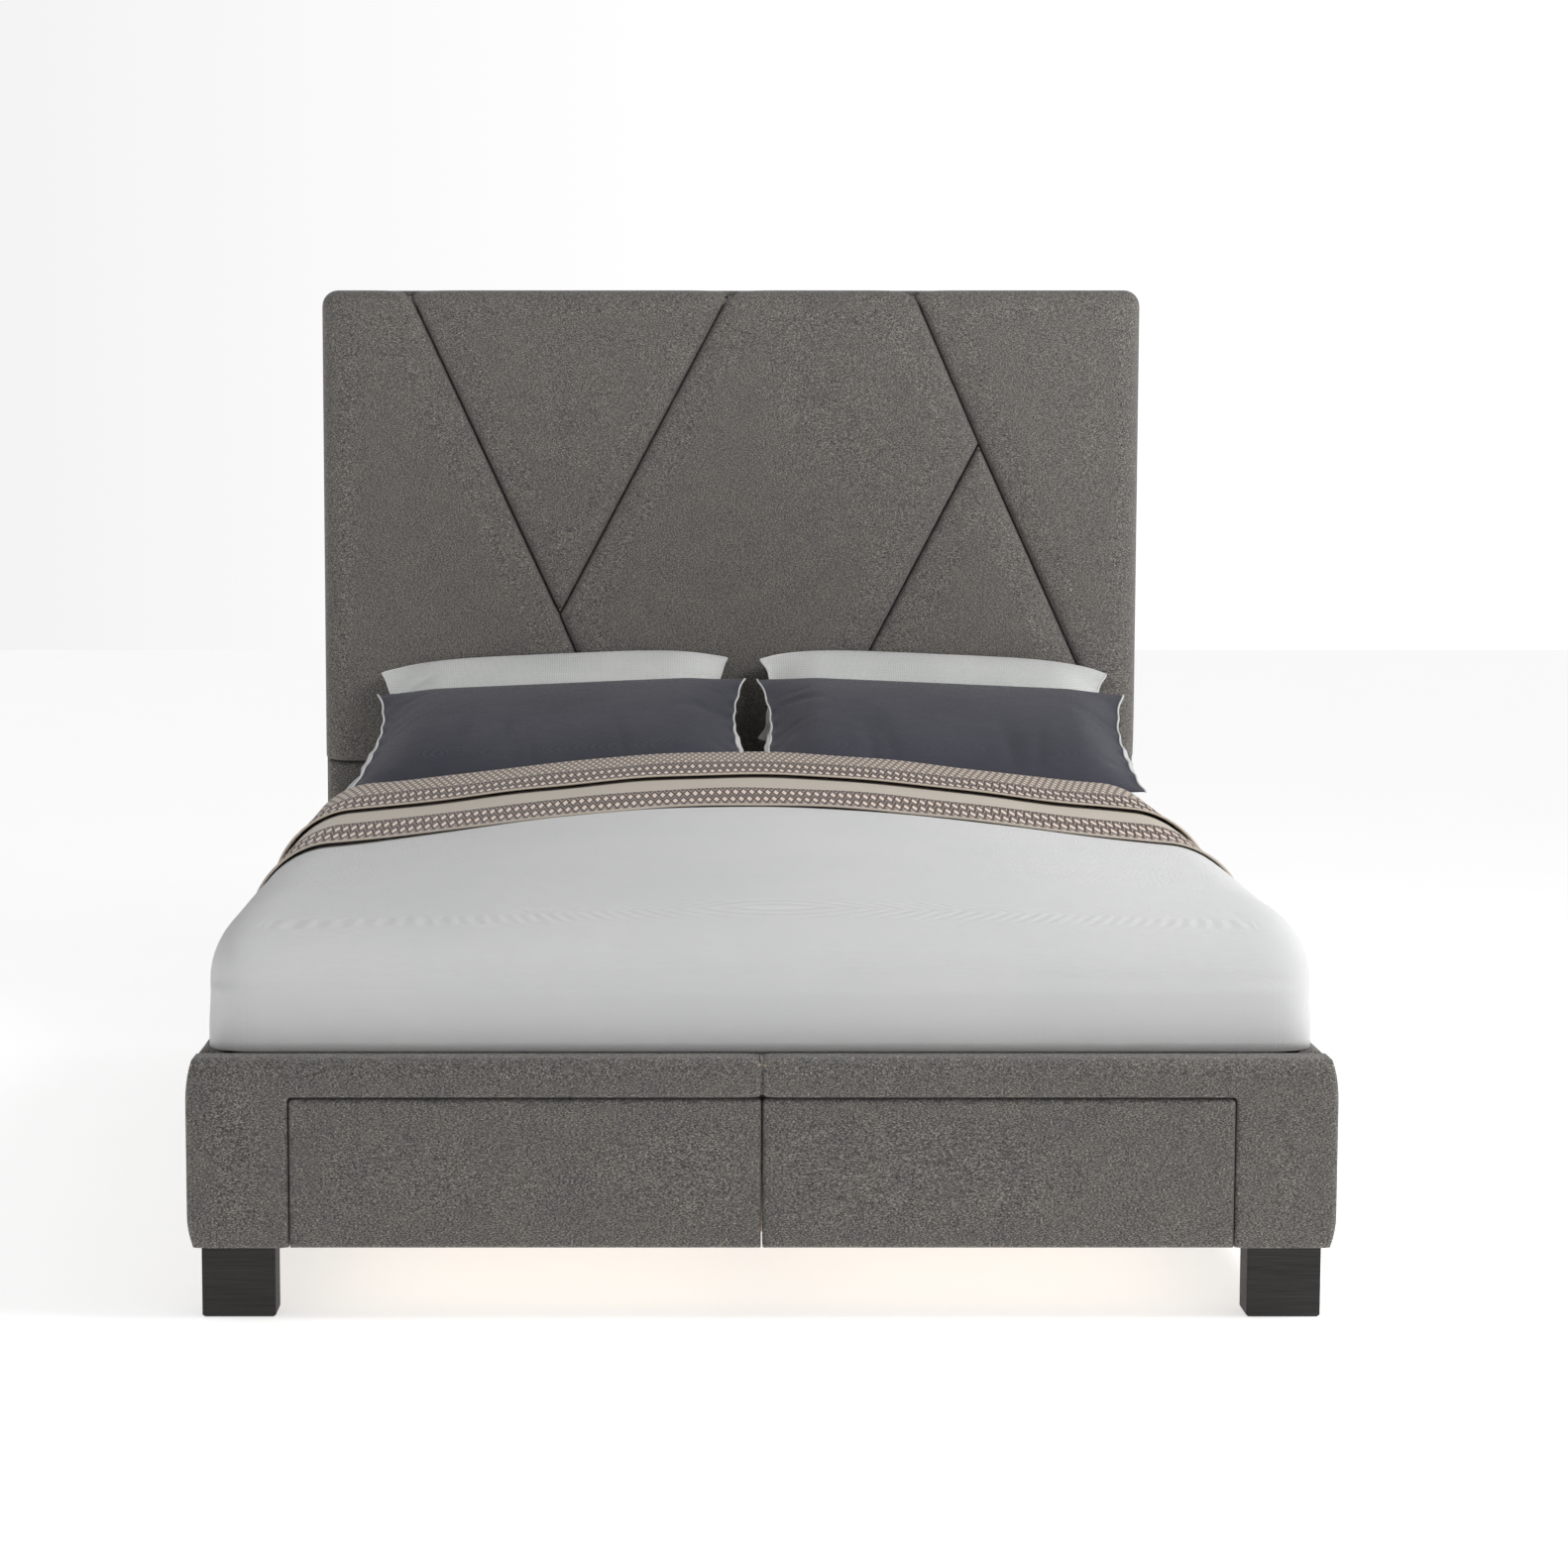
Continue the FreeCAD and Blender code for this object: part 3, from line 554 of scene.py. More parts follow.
def stitches(name, path, facing, pitch, cloth, body, share=0.62, radius=0.0009):
    """A row of sewn stitches along a path, each a small plump capsule lying on a piece of cloth."""
    path, facing = np.array(path, float), Vector(facing)
    run = np.concatenate([[0], np.cumsum(np.linalg.norm(np.diff(path, axis=0), axis=1))])
    surface = BVHTree.FromPolygons([vertex.co for vertex in cloth.data.vertices],
                                   [face.vertices for face in cloth.data.polygons])
    rings = ((-0.5, 0.35), (-0.32, 0.9), (0.0, 1.0), (0.32, 0.9), (0.5, 0.35))
    points, faces = [], []
    for number in range(round(run[-1] / pitch)):
        ends = []
        for side in (0.5 - share / 2, 0.5 + share / 2):
            spot = Vector([np.interp((number + side) * pitch, run, values) for values in path.T])
            ends.append(surface.ray_cast(spot + facing * 0.04, -facing)[0] or spot)
        along = ends[1] - ends[0]
        sideways = along.cross(facing).normalized()
        base = len(points)
        for shift, wide in rings:
            for turn in range(6):
                angle = turn * math.pi / 3
                around = facing * math.sin(angle) * 0.8 + sideways * math.cos(angle)
                points.append((ends[0] + ends[1]) / 2 + along * shift + around * radius * wide)
        faces += rod_faces(len(rings), 6, base)
    return belongs(piece(name, points, faces, MATERIALS["thread"]), body, "upholstery")


def rod_faces(rings, sides, base=0):
    """The faces of a rod made of rings of points, with both its ends closed."""
    faces = []
    for ring in range(rings - 1):
        for number in range(sides):
            a, b = base + ring * sides + number, base + ring * sides + (number + 1) % sides
            faces.append([a, b, b + sides, a + sides])
    return faces + [[base + ring * sides + number for number in range(sides)] for ring in (0, rings - 1)]


def grid_faces(rows, columns, start=0, flip=False):
    faces = []
    for row in range(rows - 1):
        for column in range(columns - 1):
            a = start + row * columns + column
            face = [a, a + 1, a + columns + 1, a + columns]
            faces.append(face[::-1] if flip else face)
    return faces


def shell(name, outer, inner, faces, *materials):
    """A closed sheet between an outer and an inner copy of the same faces, joined round their rims."""
    half = len(outer)
    edges = {(a, b) for face in faces for a, b in zip(face, face[1:] + face[:1])}
    rim = [[b, a, a + half, b + half] for a, b in sorted(edges) if (b, a) not in edges]
    under = [[corner + half for corner in face[::-1]] for face in faces]
    return piece(name, np.vstack([outer, inner]), faces + under + rim, *materials)


# ---------------- headboard

PANELS = ("left", "vee", "centre", "triangle", "right")
HEAD_TURN = Turn(0.034, 0.040)
HEAD_UNDER = Turn(0.016, 0.018)
HEAD_SEAM = Sewn(0.012, 0.0028, 0.009, 0.016)
CORNER_RADIUS = 0.032


def back_outline(node):
    """The corners of a CAD panel's flat back, in order round it, as (x, z)."""
    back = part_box(node)[1].y
    found = {(round(v.co.x, 4), round(v.co.z, 4)) for v in frame["nodes"][node].data.vertices
             if back - v.co.y < 1e-4}
    middle = np.mean(list(found), axis=0)
    return sorted(found, key=lambda spot: math.atan2(spot[1] - middle[1], spot[0] - middle[0]))


def headboard():
    """Five padded fields sewn together, a thinner padded field under them, and the wrap round the edge."""
    low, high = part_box("headboard_panel_left")
    face, depth = low.y, high.y - low.y
    half, top, bottom = HIGH.x, high.z, low.z

    def both(first, second, value):
        return max(abs(first - value), abs(second - value)) < 1e-3

    def kind(start, end):
        if both(start[1], end[1], bottom):
            return "under"
        outer = both(abs(start[0]), abs(end[0]), half) or both(start[1], end[1], top)
        return "outer" if outer else "seam"

    for name in PANELS:
        node = "headboard_panel_" + name
        corners = back_outline(node)
        kinds = [kind(corner, corners[(index + 1) % len(corners)]) for index, corner in enumerate(corners)]
        radii = [CORNER_RADIUS if abs(abs(x) - half) < 1e-3 and abs(z - top) < 1e-3
                 else 0.012 if abs(abs(x) - half) < 1e-3 else 0 for x, z in corners]
        made = slab(node + "_padding", corners, kinds, radii,
                    {"outer": HEAD_TURN, "under": HEAD_UNDER, "seam": HEAD_SEAM}, depth - 0.001,
                    seen_from_foot(face), swell=0.003)
        belongs(made, "bed_frame", "upholstery", node, fill=0.8)
    low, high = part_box("headboard_lower_panel")
    made = slab("headboard_lower_padding", rectangle(low.xz, high.xz),
                ["side", "side", "under", "side"], [0.006] * 4,
                {"side": Turn(0.018, 0.018), "under": Turn(0.010, 0.012)}, high.y - low.y - 0.001,
                seen_from_foot(low.y), swell=0.002)
    belongs(made, "bed_frame", "upholstery", "headboard_lower_panel", fill=0.8)
    headboard_wrap()


def headboard_wrap():
    """A band of cloth round the headboard's frame, from the padding's back to the dust cover."""
    low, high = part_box("headboard_edge_cover")
    thick = high.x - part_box("headboard_back_cover")[1].x
    path = [np.array((low.x, low.z)), np.array((low.x, high.z)), np.array((high.x, high.z)),
            np.array((high.x, low.z))]
    line = [path[0], *arc_at(path[0], path[1], path[2], CORNER_RADIUS),
            *arc_at(path[1], path[2], path[3], CORNER_RADIUS), path[3]]
    spots = resampled(line, 0.03, closed=False)
    along = np.gradient(spots, axis=0)
    normals = np.stack([-along[:, 1], along[:, 0]], 1)
    normals /= np.linalg.norm(normals, axis=1)[:, None]
    seam = 0.003
    profile = [(low.y - seam, seam * 1.4), (low.y, 0.0008), (low.y + 0.004, 0.0), (low.y + 0.020, -0.0006),
               (high.y - 0.008, 0.0), (high.y - 0.003, 0.0012), (high.y, 0.004), (high.y + 0.001, 0.009),
               (high.y + 0.001, thick + 0.003), (high.y - 0.001, thick - 0.001),
               (low.y + 0.002, thick - 0.001), (low.y - seam, thick - 0.004)]
    grid = np.array([[(x - nx * inset, y, z - nz * inset) for y, inset in profile]
                     for (x, z), (nx, nz) in zip(spots, normals)])
    rows, columns = grid.shape[:2]
    faces = grid_faces(rows, columns)
    for row in range(rows - 1):
        a = row * columns
        faces.append([a + columns - 1, a, a + columns, a + 2 * columns - 1])
    faces.append(list(range(columns)))
    faces.append([(rows - 1) * columns + column for column in range(columns)])
    made = piece("headboard_wrap", grid.reshape(-1, 3), faces, MATERIALS["upholstery"])
    belongs(made, "bed_frame", "upholstery", "headboard_edge_cover", fill=0.9)


# ---------------- footboard, rails and drawer fronts

SIDE_BOW_TOP, SIDE_BOW_FOOT = 0.009, 0.008
# How far each row of stitches lies from its edge, and the length of one stitch with its gap.
SIDE_STITCH, MIDDLE_STITCH, RAIL_STITCH = (0.0080, 0.0067), (0.0078, 0.0052), (0.016, 0.008)


def footboard():
    """Two padded halves of the footboard, joined in a stitched seam at the middle."""
    for name, side in SIDES.items():
        node = "footboard_cover_" + name
        low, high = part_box(node)
        front_low, front_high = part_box(f"drawer_{name}_front_cover")
        opening_side = max(abs(front_low.x), abs(front_high.x)) + 0.002
        opening_top = front_high.z + 0.0025
        outer, inner = max(abs(low.x), abs(high.x)), 0.0004
        bow_foot, bow_top = low.z + 0.045, high.z - 0.062
        side_line = [(outer - SIDE_BOW_FOOT * (1 - share) ** 2, low.z + (bow_foot - low.z) * share)
                     for share in np.linspace(0, 1, 6)]
        side_line += [(outer - SIDE_BOW_TOP * share ** 2, bow_top + (high.z - bow_top) * share)
                      for share in np.linspace(0, 1, 6)]
        corners = [(inner, high.z), (inner, opening_top), (opening_side, opening_top),
                   (opening_side, low.z)]
        kinds = ["joint", "lip", "lip", "under"] + ["side"] * (len(side_line) - 1) + ["crest"]
        radii = [0, 0, 0.006, 0] + [0.003] + [0] * (len(side_line) - 2) + [0.006]
        corners = [(side * x, z) for x, z in corners + side_line]
        made = slab(node + "_padding", corners, kinds, radii,
                    {"joint": Sewn(0.004, 0.0015, 0.0015, 0.008), "lip": Turn(0.005), "under": Turn(0.003),
                     "side": Turn(0.010, 0.012), "crest": Turn(0.028, 0.022)}, high.y - low.y,
                    seen_from_foot(low.y), back_turn=0.012, swell=0.0015)
        belongs(made, "bed_frame", "upholstery", node, fill=0.8)
        inset, pitch = SIDE_STITCH
        edge = [(side * (x - inset), low.y, z) for x, z in side_line if low.z + 0.006 < z < high.z - 0.012]
        stitches("side_stitching_" + name, edge, (0, -1, 0), pitch, made, "bed_frame")
        if side > 0:
            behind = [(0, low.y + 0.0075, opening_top + 0.004), (0, low.y + 0.0075, high.z - 0.026),
                      (0, low.y + 0.0092, high.z - 0.0105), (0, low.y + 0.020, high.z - 0.0040),
                      (0, high.y - 0.014, high.z - 0.0045)]
            backing = tube("seam_backing", behind, 0.0032, MATERIALS["upholstery"])
            belongs(backing, "bed_frame", "upholstery")
        inset, pitch = MIDDLE_STITCH
        middle = [(side * inset, low.y, opening_top + 0.006), (side * inset, low.y, high.z - 0.014)]
        stitches("middle_stitching_" + name, middle, (0, -1, 0), pitch, made, "bed_frame")


def side_rails():
    """Padded sleeves over the side rails, with a row of stitching along the top."""
    for name, side in SIDES.items():
        node = "side_rail_cover_" + name
        low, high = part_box(node)
        outer = side * max(abs(low.x), abs(high.x))
        made = slab(node + "_padding", rectangle(low.yz, high.yz),
                    ["under", "end", "crest", "end"], [0] * 4,
                    {"under": Turn(0.008), "end": Turn(0.003), "crest": Turn(0.012)}, high.x - low.x,
                    lambda u, v, w, side=side, outer=outer: (outer - side * w, u, v), back_turn=0.006,
                    step=0.02, rings=(0.002, 0.005, 0.009, 0.014), swell=0.002)
        belongs(made, "bed_frame", "upholstery", node, fill=0.8)
        inset, pitch = RAIL_STITCH
        across = outer - side * inset
        edge = [(across, low.y + 0.004, high.z), (across, high.y - 0.010, high.z)]
        stitches("rail_stitching_" + name, edge, (0, 0, 1), pitch, made, "bed_frame")


def drawer_fronts():
    """Padded drawer fronts, pulled round the edges of their boards."""
    for name in SIDES:
        node = f"drawer_{name}_front_cover"
        low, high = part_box(node)
        made = slab(node + "_padding", rectangle(low.xz, high.xz), ["edge"] * 4,
                    [0.002, 0.002, 0.006, 0.006], {"edge": Turn(0.006)},
                    high.y - low.y - 0.0015, seen_from_foot(low.y),
                    back_turn=0.004, swell=0.0012)
        belongs(made, "drawer_" + name, "upholstery", node, fill=0.8)


# ---------------- bedding

# The duvet turns over the bed's edges at radius SHOULDER from a top at BED_TOP, where its crown begins,
# and between the TUCK heights its walls turn in by TUCK_DEEP, behind the footboard and the rails.
SHOULDER, BED_TOP = 0.120, 0.588
CORNER_POWER = 4.5
TUCK_START, TUCK_END, TUCK_DEEP = 0.3758, 0.3742, 0.0325
FOOT_PUFF = 0.013
MATTRESS_ROUND, QUILT = 0.100, 0.17
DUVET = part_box("duvet")
HALF_WIDTH = DUVET[1].x + 0.008


def crown(x, y):
    """How far the filling lifts the bedding's top at a place."""
    share = np.clip(np.abs(x) / HALF_WIDTH, 0, 1)
    size = 0.024 + 0.040 * smooth(y, DUVET[0].y + 0.04, -0.36) - 0.044 * smooth(y, 0.49, 0.57)
    return size * (1 - share ** 2) ** 2


def over_bed(across, y, lift):
    """Where cloth comes to lie over the bed: x and z at a length across from its middle."""
    flat = HALF_WIDTH - SHOULDER
    past = np.abs(across) - flat
    angle = np.clip(past / SHOULDER, 0, QUARTER)
    fall = np.maximum(past - SHOULDER * QUARTER, 0)
    x = np.where(past < 0, np.abs(across), flat + (SHOULDER + lift) * np.sin(angle))
    z = BED_TOP - SHOULDER + (SHOULDER + lift) * np.cos(angle) - fall
    return np.sign(across) * x, z + crown(x, y)


def bedding_height(x, y):
    """The height of the bedding's top at a place seen from above."""
    past = np.clip(np.abs(x) - (HALF_WIDTH - SHOULDER), 0, SHOULDER)
    return BED_TOP - SHOULDER + np.sqrt(SHOULDER ** 2 - past ** 2) + crown(x, y)


def skin(columns, rows, levels):
    """Faces of a top and the walls hanging from three of its sides, and the order of its border."""
    faces = grid_faces(columns, rows)
    border = [row for row in range(rows - 1, -1, -1)]
    border += [column * rows for column in range(1, columns)]
    border += [(columns - 1) * rows + row for row in range(1, rows)]
    above = border
    for level in range(levels):
        below = [columns * rows + level * len(border) + index for index in range(len(border))]
        for index in range(len(border) - 1):
            faces.append([above[index], below[index], below[index + 1], above[index + 1]])
        above = below
    return faces, border


def laid_over(columns, rows, heights, border, half, front, head, top, radius):
    """The skin's points laid over a block whose top edges and corners are rounded."""
    reach = half - radius + radius * QUARTER
    across = np.linspace(-reach, reach, columns)
    start = front + radius - radius * QUARTER
    along = start + (head - start) * np.linspace(0, 1, rows)
    across, along = np.meshgrid(across, along, indexing="ij")
    from_side, from_front = reach - np.abs(across), along - start
    lean = [np.cos(np.clip(gap / radius, 0, QUARTER)) for gap in (from_side, from_front)]
    most = np.maximum(*lean)
    size = np.maximum((lean[0] ** CORNER_POWER + lean[1] ** CORNER_POWER) ** (1 / CORNER_POWER), 1e-9)
    lean = [part * most / size for part in lean]
    beyond_side = np.maximum(from_side - radius * QUARTER, 0)
    beyond_front = np.maximum(from_front - radius * QUARTER, 0)
    x = np.sign(across) * (half - radius - beyond_side + radius * lean[0])
    x = np.where(np.abs(across) < 1e-9, 0, x)
    y = front + radius + beyond_front - radius * lean[1]
    z = top - radius + radius * np.sqrt(1 - most ** 2)
    points = [np.stack([x, y, z], 2).reshape(-1, 3)]
    for height in heights:
        wall = points[0][border].copy()
        wall[:, 2] = height
        points.append(wall)
    return np.vstack(points)


def duvet():
    """A filled duvet over the mattress, tucked down inside the rails."""
    low, high = DUVET
    columns, rows = 119, 150
    levels = (BED_TOP - SHOULDER, 7), (TUCK_START, 4), (TUCK_END, 4), (low.z, 0)
    heights = np.concatenate([np.linspace(start, end, count + 1)[1:]
                              for (start, count), (end, _) in zip(levels, levels[1:])])
    faces, border = skin(columns, rows, len(heights))
    outer = laid_over(columns, rows, heights, border, HALF_WIDTH, low.y, high.y, BED_TOP, SHOULDER)
    x, y, z = outer.T
    outer[:, 2] += crown(x, y) * smooth(z, 0.45, BED_TOP)
    outer[:, 0] *= 1 - TUCK_DEEP / HALF_WIDTH * smooth(-z, -TUCK_START, -TUCK_END)
    outer[:, 1] -= FOOT_PUFF * smooth(z, TUCK_END, TUCK_START) * smooth(-y, -low.y - 0.16, -low.y)
    loose = smooth(z, 0.50, 0.60) * smooth(high.y - y, 0, 0.1)
    waves = np.sin(9 * x + 4 * y) + np.sin(5 * y - 7 * x + 2) + np.sin(13 * y + 3 * x)
    outer[:, 2] += loose * 0.0013 * waves
    flank = smooth(np.abs(x), 0.72, 0.78) * smooth(z, 0.40, 0.47) * smooth(-z, -0.56, -0.50)
    outer[:, 0] += np.sign(x) * flank * 0.0016 * (np.sin(23 * y + 9 * z) + np.sin(41 * y - 14 * z + 1) - 1)
    mattress_low, mattress_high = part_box("mattress")
    gap = 0.0015
    inner = laid_over(columns, rows, heights, border, mattress_high.x + gap, mattress_low.y - gap, high.y,
                      mattress_high.z + gap, MATTRESS_ROUND + gap)
    made = shell("duvet_filled", outer, inner, faces, MATERIALS["duvet_cotton"])
    belongs(made, "bed_frame", "duvet_cotton", "duvet", fill=0.5)


# Where along Y the throw's front edge, the fold at its back and its folded part's free edge lie.
THROW_FRONT, THROW_BACK, THROW_FREE = -0.375, 0.515, 0.045
THROW_HEM = 0.417
THROW_THICK = 0.0034
LAYERS = (0.0030, 0.0085)
MOTIF_PITCH = 0.0135
# A row of diamonds is (middle, half its depth, shift): shares of the border's depth and of the pitch.
MOTIF_ROWS = ((0.06, 0.05, 0.0), (0.30, 0.22, 0.5), (0.71, 0.24, 0.0))
LATTICE_PITCH, LATTICE_LENGTH = 0.0130, 0.078
FIRST_LENGTH, LAST_LENGTH = THROW_BACK - THROW_FRONT, THROW_BACK - THROW_FREE
THROW_LENGTH = FIRST_LENGTH + LAST_LENGTH + 0.008
BORDERS = ((0.010, 0.262), (THROW_LENGTH - 0.008, THROW_LENGTH - 0.250))
LATTICE = (FIRST_LENGTH - 0.05, THROW_LENGTH - 0.250)


def throw():
    """A woven blanket laid across the bed and folded back on itself towards the foot."""
    reach = HALF_WIDTH - SHOULDER + SHOULDER * QUARTER + BED_TOP - SHOULDER - THROW_HEM
    across = np.linspace(-reach, reach, 181)
    outward = np.abs(across) / reach
    front = THROW_FRONT - 0.05 * outward ** 2
    free = THROW_FREE - 0.05 * outward ** 2
    back = THROW_BACK - 0.03 * outward ** 2
    waver = 0.004 * np.sin(9 * across + 1) + 0.002 * np.sin(31 * across)
    fold = (LAYERS[1] - LAYERS[0]) / 2
    stations = [("first", share) for share in np.linspace(0, 1, 66)]
    stations += [("fold", angle) for angle in np.linspace(0, math.pi, 7)[1:]]
    stations += [("last", share) for share in np.linspace(0, 1, 34)[1:]]
    outer, inner, flat = [], [], []
    for kind, share in stations:
        turn = {"first": 0.0, "fold": share, "last": math.pi}[kind]
        if kind == "first":
            y = (front + waver) * (1 - share) + back * share
            lift, run = LAYERS[0] + 0.0018 * math.exp(-share / 0.012), share * FIRST_LENGTH
        elif kind == "fold":
            y = back + fold * math.sin(share)
            lift, run = LAYERS[0] + fold * (1 - math.cos(share)), FIRST_LENGTH + fold * share
        else:
            y = back * (1 - share) + (free + waver) * share
            lift = LAYERS[1] + 0.0045 * math.exp((share - 1) / 0.08)
            run = THROW_LENGTH - (1 - share) * LAST_LENGTH
        wrinkle = 0.0008 * np.sin(27 * across + 6 * y) * np.sin(11 * y - 3 * across)
        for side, rows in ((1, outer), (-1, inner)):
            shift = side * THROW_THICK / 2
            along = y - shift * math.sin(turn)
            x, z = over_bed(across, along, lift + wrinkle + shift * math.cos(turn))
            rows.append(np.stack([x, along, z], 1))
        flat.append(np.stack([across + reach, np.full_like(across, run)], 1))
    faces = grid_faces(len(stations), len(across))
    made = shell("throw_blanket", np.vstack(outer), np.vstack(inner), faces, MATERIALS["throw_weave"])
    lay_flat(made, np.vstack(flat + flat))
    belongs(made, "bed_frame", "throw_weave", "throw")


def lay_flat(made, flat):
    """Write the cloth's own flat coordinates as its UV map."""
    layer = made.data.uv_layers.new(name="cloth")
    for loop in made.data.loops:
        layer.data[loop.index].uv = flat[loop.vertex_index]


def mattress():
    """A mattress with a quilted top and rounded edges."""
    low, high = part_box("mattress")
    made = slab("mattress_cover", rectangle(low.xy, high.xy), ["edge"] * 4, [0.05] * 4,
                {"edge": Turn(MATTRESS_ROUND)}, high.z - low.z, lambda u, v, w: (u, v, high.z - w),
                back_turn=0.02, step=0.035, rings=(0.004, 0.014, 0.030, 0.055, 0.080))
    made.data.materials.clear()
    made.data.materials.append(MATERIALS["ticking"])
    for vertex in made.data.vertices:
        x, y, z = vertex.co
        if z > high.z - 0.02:
            quilting = math.cos(math.pi * (x + y) / QUILT) * math.cos(math.pi * (x - y) / QUILT)
            vertex.co.z -= 0.004 * abs(quilting)
    belongs(made, "bed_frame", "ticking", "mattress", fill=0.9)


# ---------------- pillows

def pouch(columns, rows, form):
    """Two sheets sewn together at their edges: points, faces with the front ones first, and the seam."""
    spread = [np.linspace(-1, 1, count + 1) for count in (columns, rows)]
    grid_u, grid_v = np.meshgrid(*[part * (1.25 - 0.25 * part ** 2) for part in spread])
    points = [np.stack(form(grid_u, grid_v, side), 2).reshape(-1, 3) for side in (1, -1)]
    half = len(points[0])
    faces = grid_faces(rows + 1, columns + 1) + grid_faces(rows + 1, columns + 1, half, True)
    joined = {}
    for row in range(rows + 1):
        for column in range(columns + 1):
            if row in (0, rows) or column in (0, columns):
                index = row * (columns + 1) + column
                joined[index + half] = index
    faces = [[joined.get(corner, corner) for corner in face] for face in faces]
    used = sorted({corner for face in faces for corner in face})
    renamed = {old: new for new, old in enumerate(used)}
    border = [renamed[row * (columns + 1) + column] for row, column in border_cells(rows, columns)]
    return np.vstack(points)[used], [[renamed[corner] for corner in face] for face in faces], border


def border_cells(rows, columns):
    """The cells round a grid in order, starting at its low corner."""
    cells = [(0, column) for column in range(columns)]
    cells += [(row, columns) for row in range(rows)]
    cells += [(rows, column) for column in range(columns, 0, -1)]
    cells += [(row, 0) for row in range(rows, 0, -1)]
    return cells


def creases(u, v, seed):
    """How deep a case is creased: folds drawn in from the sewn ends and dents along the lower edge."""
    chance = np.random.default_rng(seed)
    from_end = 1 - np.abs(u)
    deep = np.zeros_like(u)
    for number in range(12):
        middle, slope = chance.uniform(-0.8, 0.8), chance.uniform(-0.9, 0.9)
        wide, long = chance.uniform(0.035, 0.085), chance.uniform(0.16, 0.42)
        fold = np.exp(-((v - middle - slope * from_end) / wide) ** 2)
        fold *= 1 - smooth(from_end, 0.3 * long, long)
        deep += np.where(u * (-1) ** number > 0, fold, 0) * smooth(from_end, 0.0, 0.05)
    for number in range(5):
        middle, slope = chance.uniform(-0.6, 0.6), chance.uniform(-0.1, 0.1)
        wide = chance.uniform(0.02, 0.05)
        fold = np.exp(-((u - middle - slope * (1 + v)) / wide) ** 2)
        deep += 0.7 * fold * smooth(-v, -0.1, 0.6) * smooth(1 + v, 0.0, 0.25)
    return deep


PILLOW_GRID = (100, 56)


def cushion(node, size, thick, bow, hem, lean, roll, shift, splay, seed):
    """A stuffed case sewn flat at its edges, leaned back and let down on the bed.

    bow is how much deeper it is in the middle than at its ends, hem how far (as a share of its half
    width) its ends stay flat, shift how it settles, and splay how far its low outer corner spreads.
    """
    width, deep = size

    def form(u, v, side):
        from_end, middle = 1 - np.abs(u), 1 - v ** 2
        fill = smooth(from_end, hem, 0.34) ** 0.7 * (1 - np.abs(v) ** 2.4) ** 0.6 * (1 - 0.16 * v)
        y = v * deep / 2 * (1 + bow * (1 - np.abs(u) ** 4.5)) / (1 + bow)
        near = smooth(np.abs(u), 0.90, 1.0)
        frill = 2 * math.pi * y / 0.052 + 3 * seed + 2 * np.sin(17 * y + seed)
        x = u * (width / 2 - 0.026 * middle * np.abs(u) ** 3) + np.sign(u) * near * 0.0013 * np.sin(frill)
        outward = math.copysign(1, roll)
        x += outward * splay * smooth(u * outward, -0.2, 1.0) * smooth(-v, -1.0, 1.0)
        if side < 0:
            behind = 0.010 + 0.012 * smooth(-v, -0.1, 0.5)
            near_end = smooth(from_end, 0.0, 0.03) * (1 - smooth(from_end, 0.05, 0.3))
            x += np.sign(u) * behind * middle * near_end
        z = side * fill * (thick / 2 - 0.0075 * creases(u, v, seed)) + near * 0.0020 * np.cos(frill)
        return x, y, z

    points, faces, border = pouch(*PILLOW_GRID, form)
    low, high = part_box(node)
    turn = Matrix.Rotation(roll, 3, "Y") @ Matrix.Rotation(lean, 3, "X")
    placed = points @ np.array(turn).T + np.array((low + high) / 2) + np.array(shift)
    rest = bedding_height(placed[:, 0], placed[:, 1]) + 0.003
    placed[:, 2] = np.where(placed[:, 2] < rest, rest + (placed[:, 2] - rest) * 0.04, placed[:, 2])
    return placed, faces, border


def case_object(name, placed, faces, materials, front_count):
    made = piece(name, placed, faces, *materials)
    for index, polygon in enumerate(made.data.polygons):
        polygon.material_index = 0 if index < front_count else len(materials) - 1
    return made


def tube(name, path, radius, material, sides=8):
    """A cord sewn along a seam: a round tube through some points."""
    path = np.array(path)
    along = np.gradient(path, axis=0)
    along /= np.linalg.norm(along, axis=1)[:, None]
    points = []
    for spot, forward in zip(path, along):
        side = np.cross(forward, (0, 0.3, 1.0))
        side /= np.linalg.norm(side)
        up = np.cross(side, forward)
        for number in range(sides):
            angle = 2 * math.pi * number / sides
            points.append(spot + (side * math.cos(angle) + up * math.sin(angle)) * radius)
    return piece(name, points, rod_faces(len(path), sides), material)


PILLOW = {"size": (0.716, 0.333), "thick": 0.100, "bow": 0.02, "hem": 0.004, "lean": math.radians(30),
          "shift": (0.009, 0, -0.026)}
SPLAY = {"left": 0.040, "right": 0.014}
SHAM = {"size": (0.690, 0.262), "thick": 0.070, "bow": 0.30, "hem": 0.03, "lean": math.radians(47),
        "shift": (0.004, 0, 0), "splay": 0.0}
ROLL = math.radians(2.5)


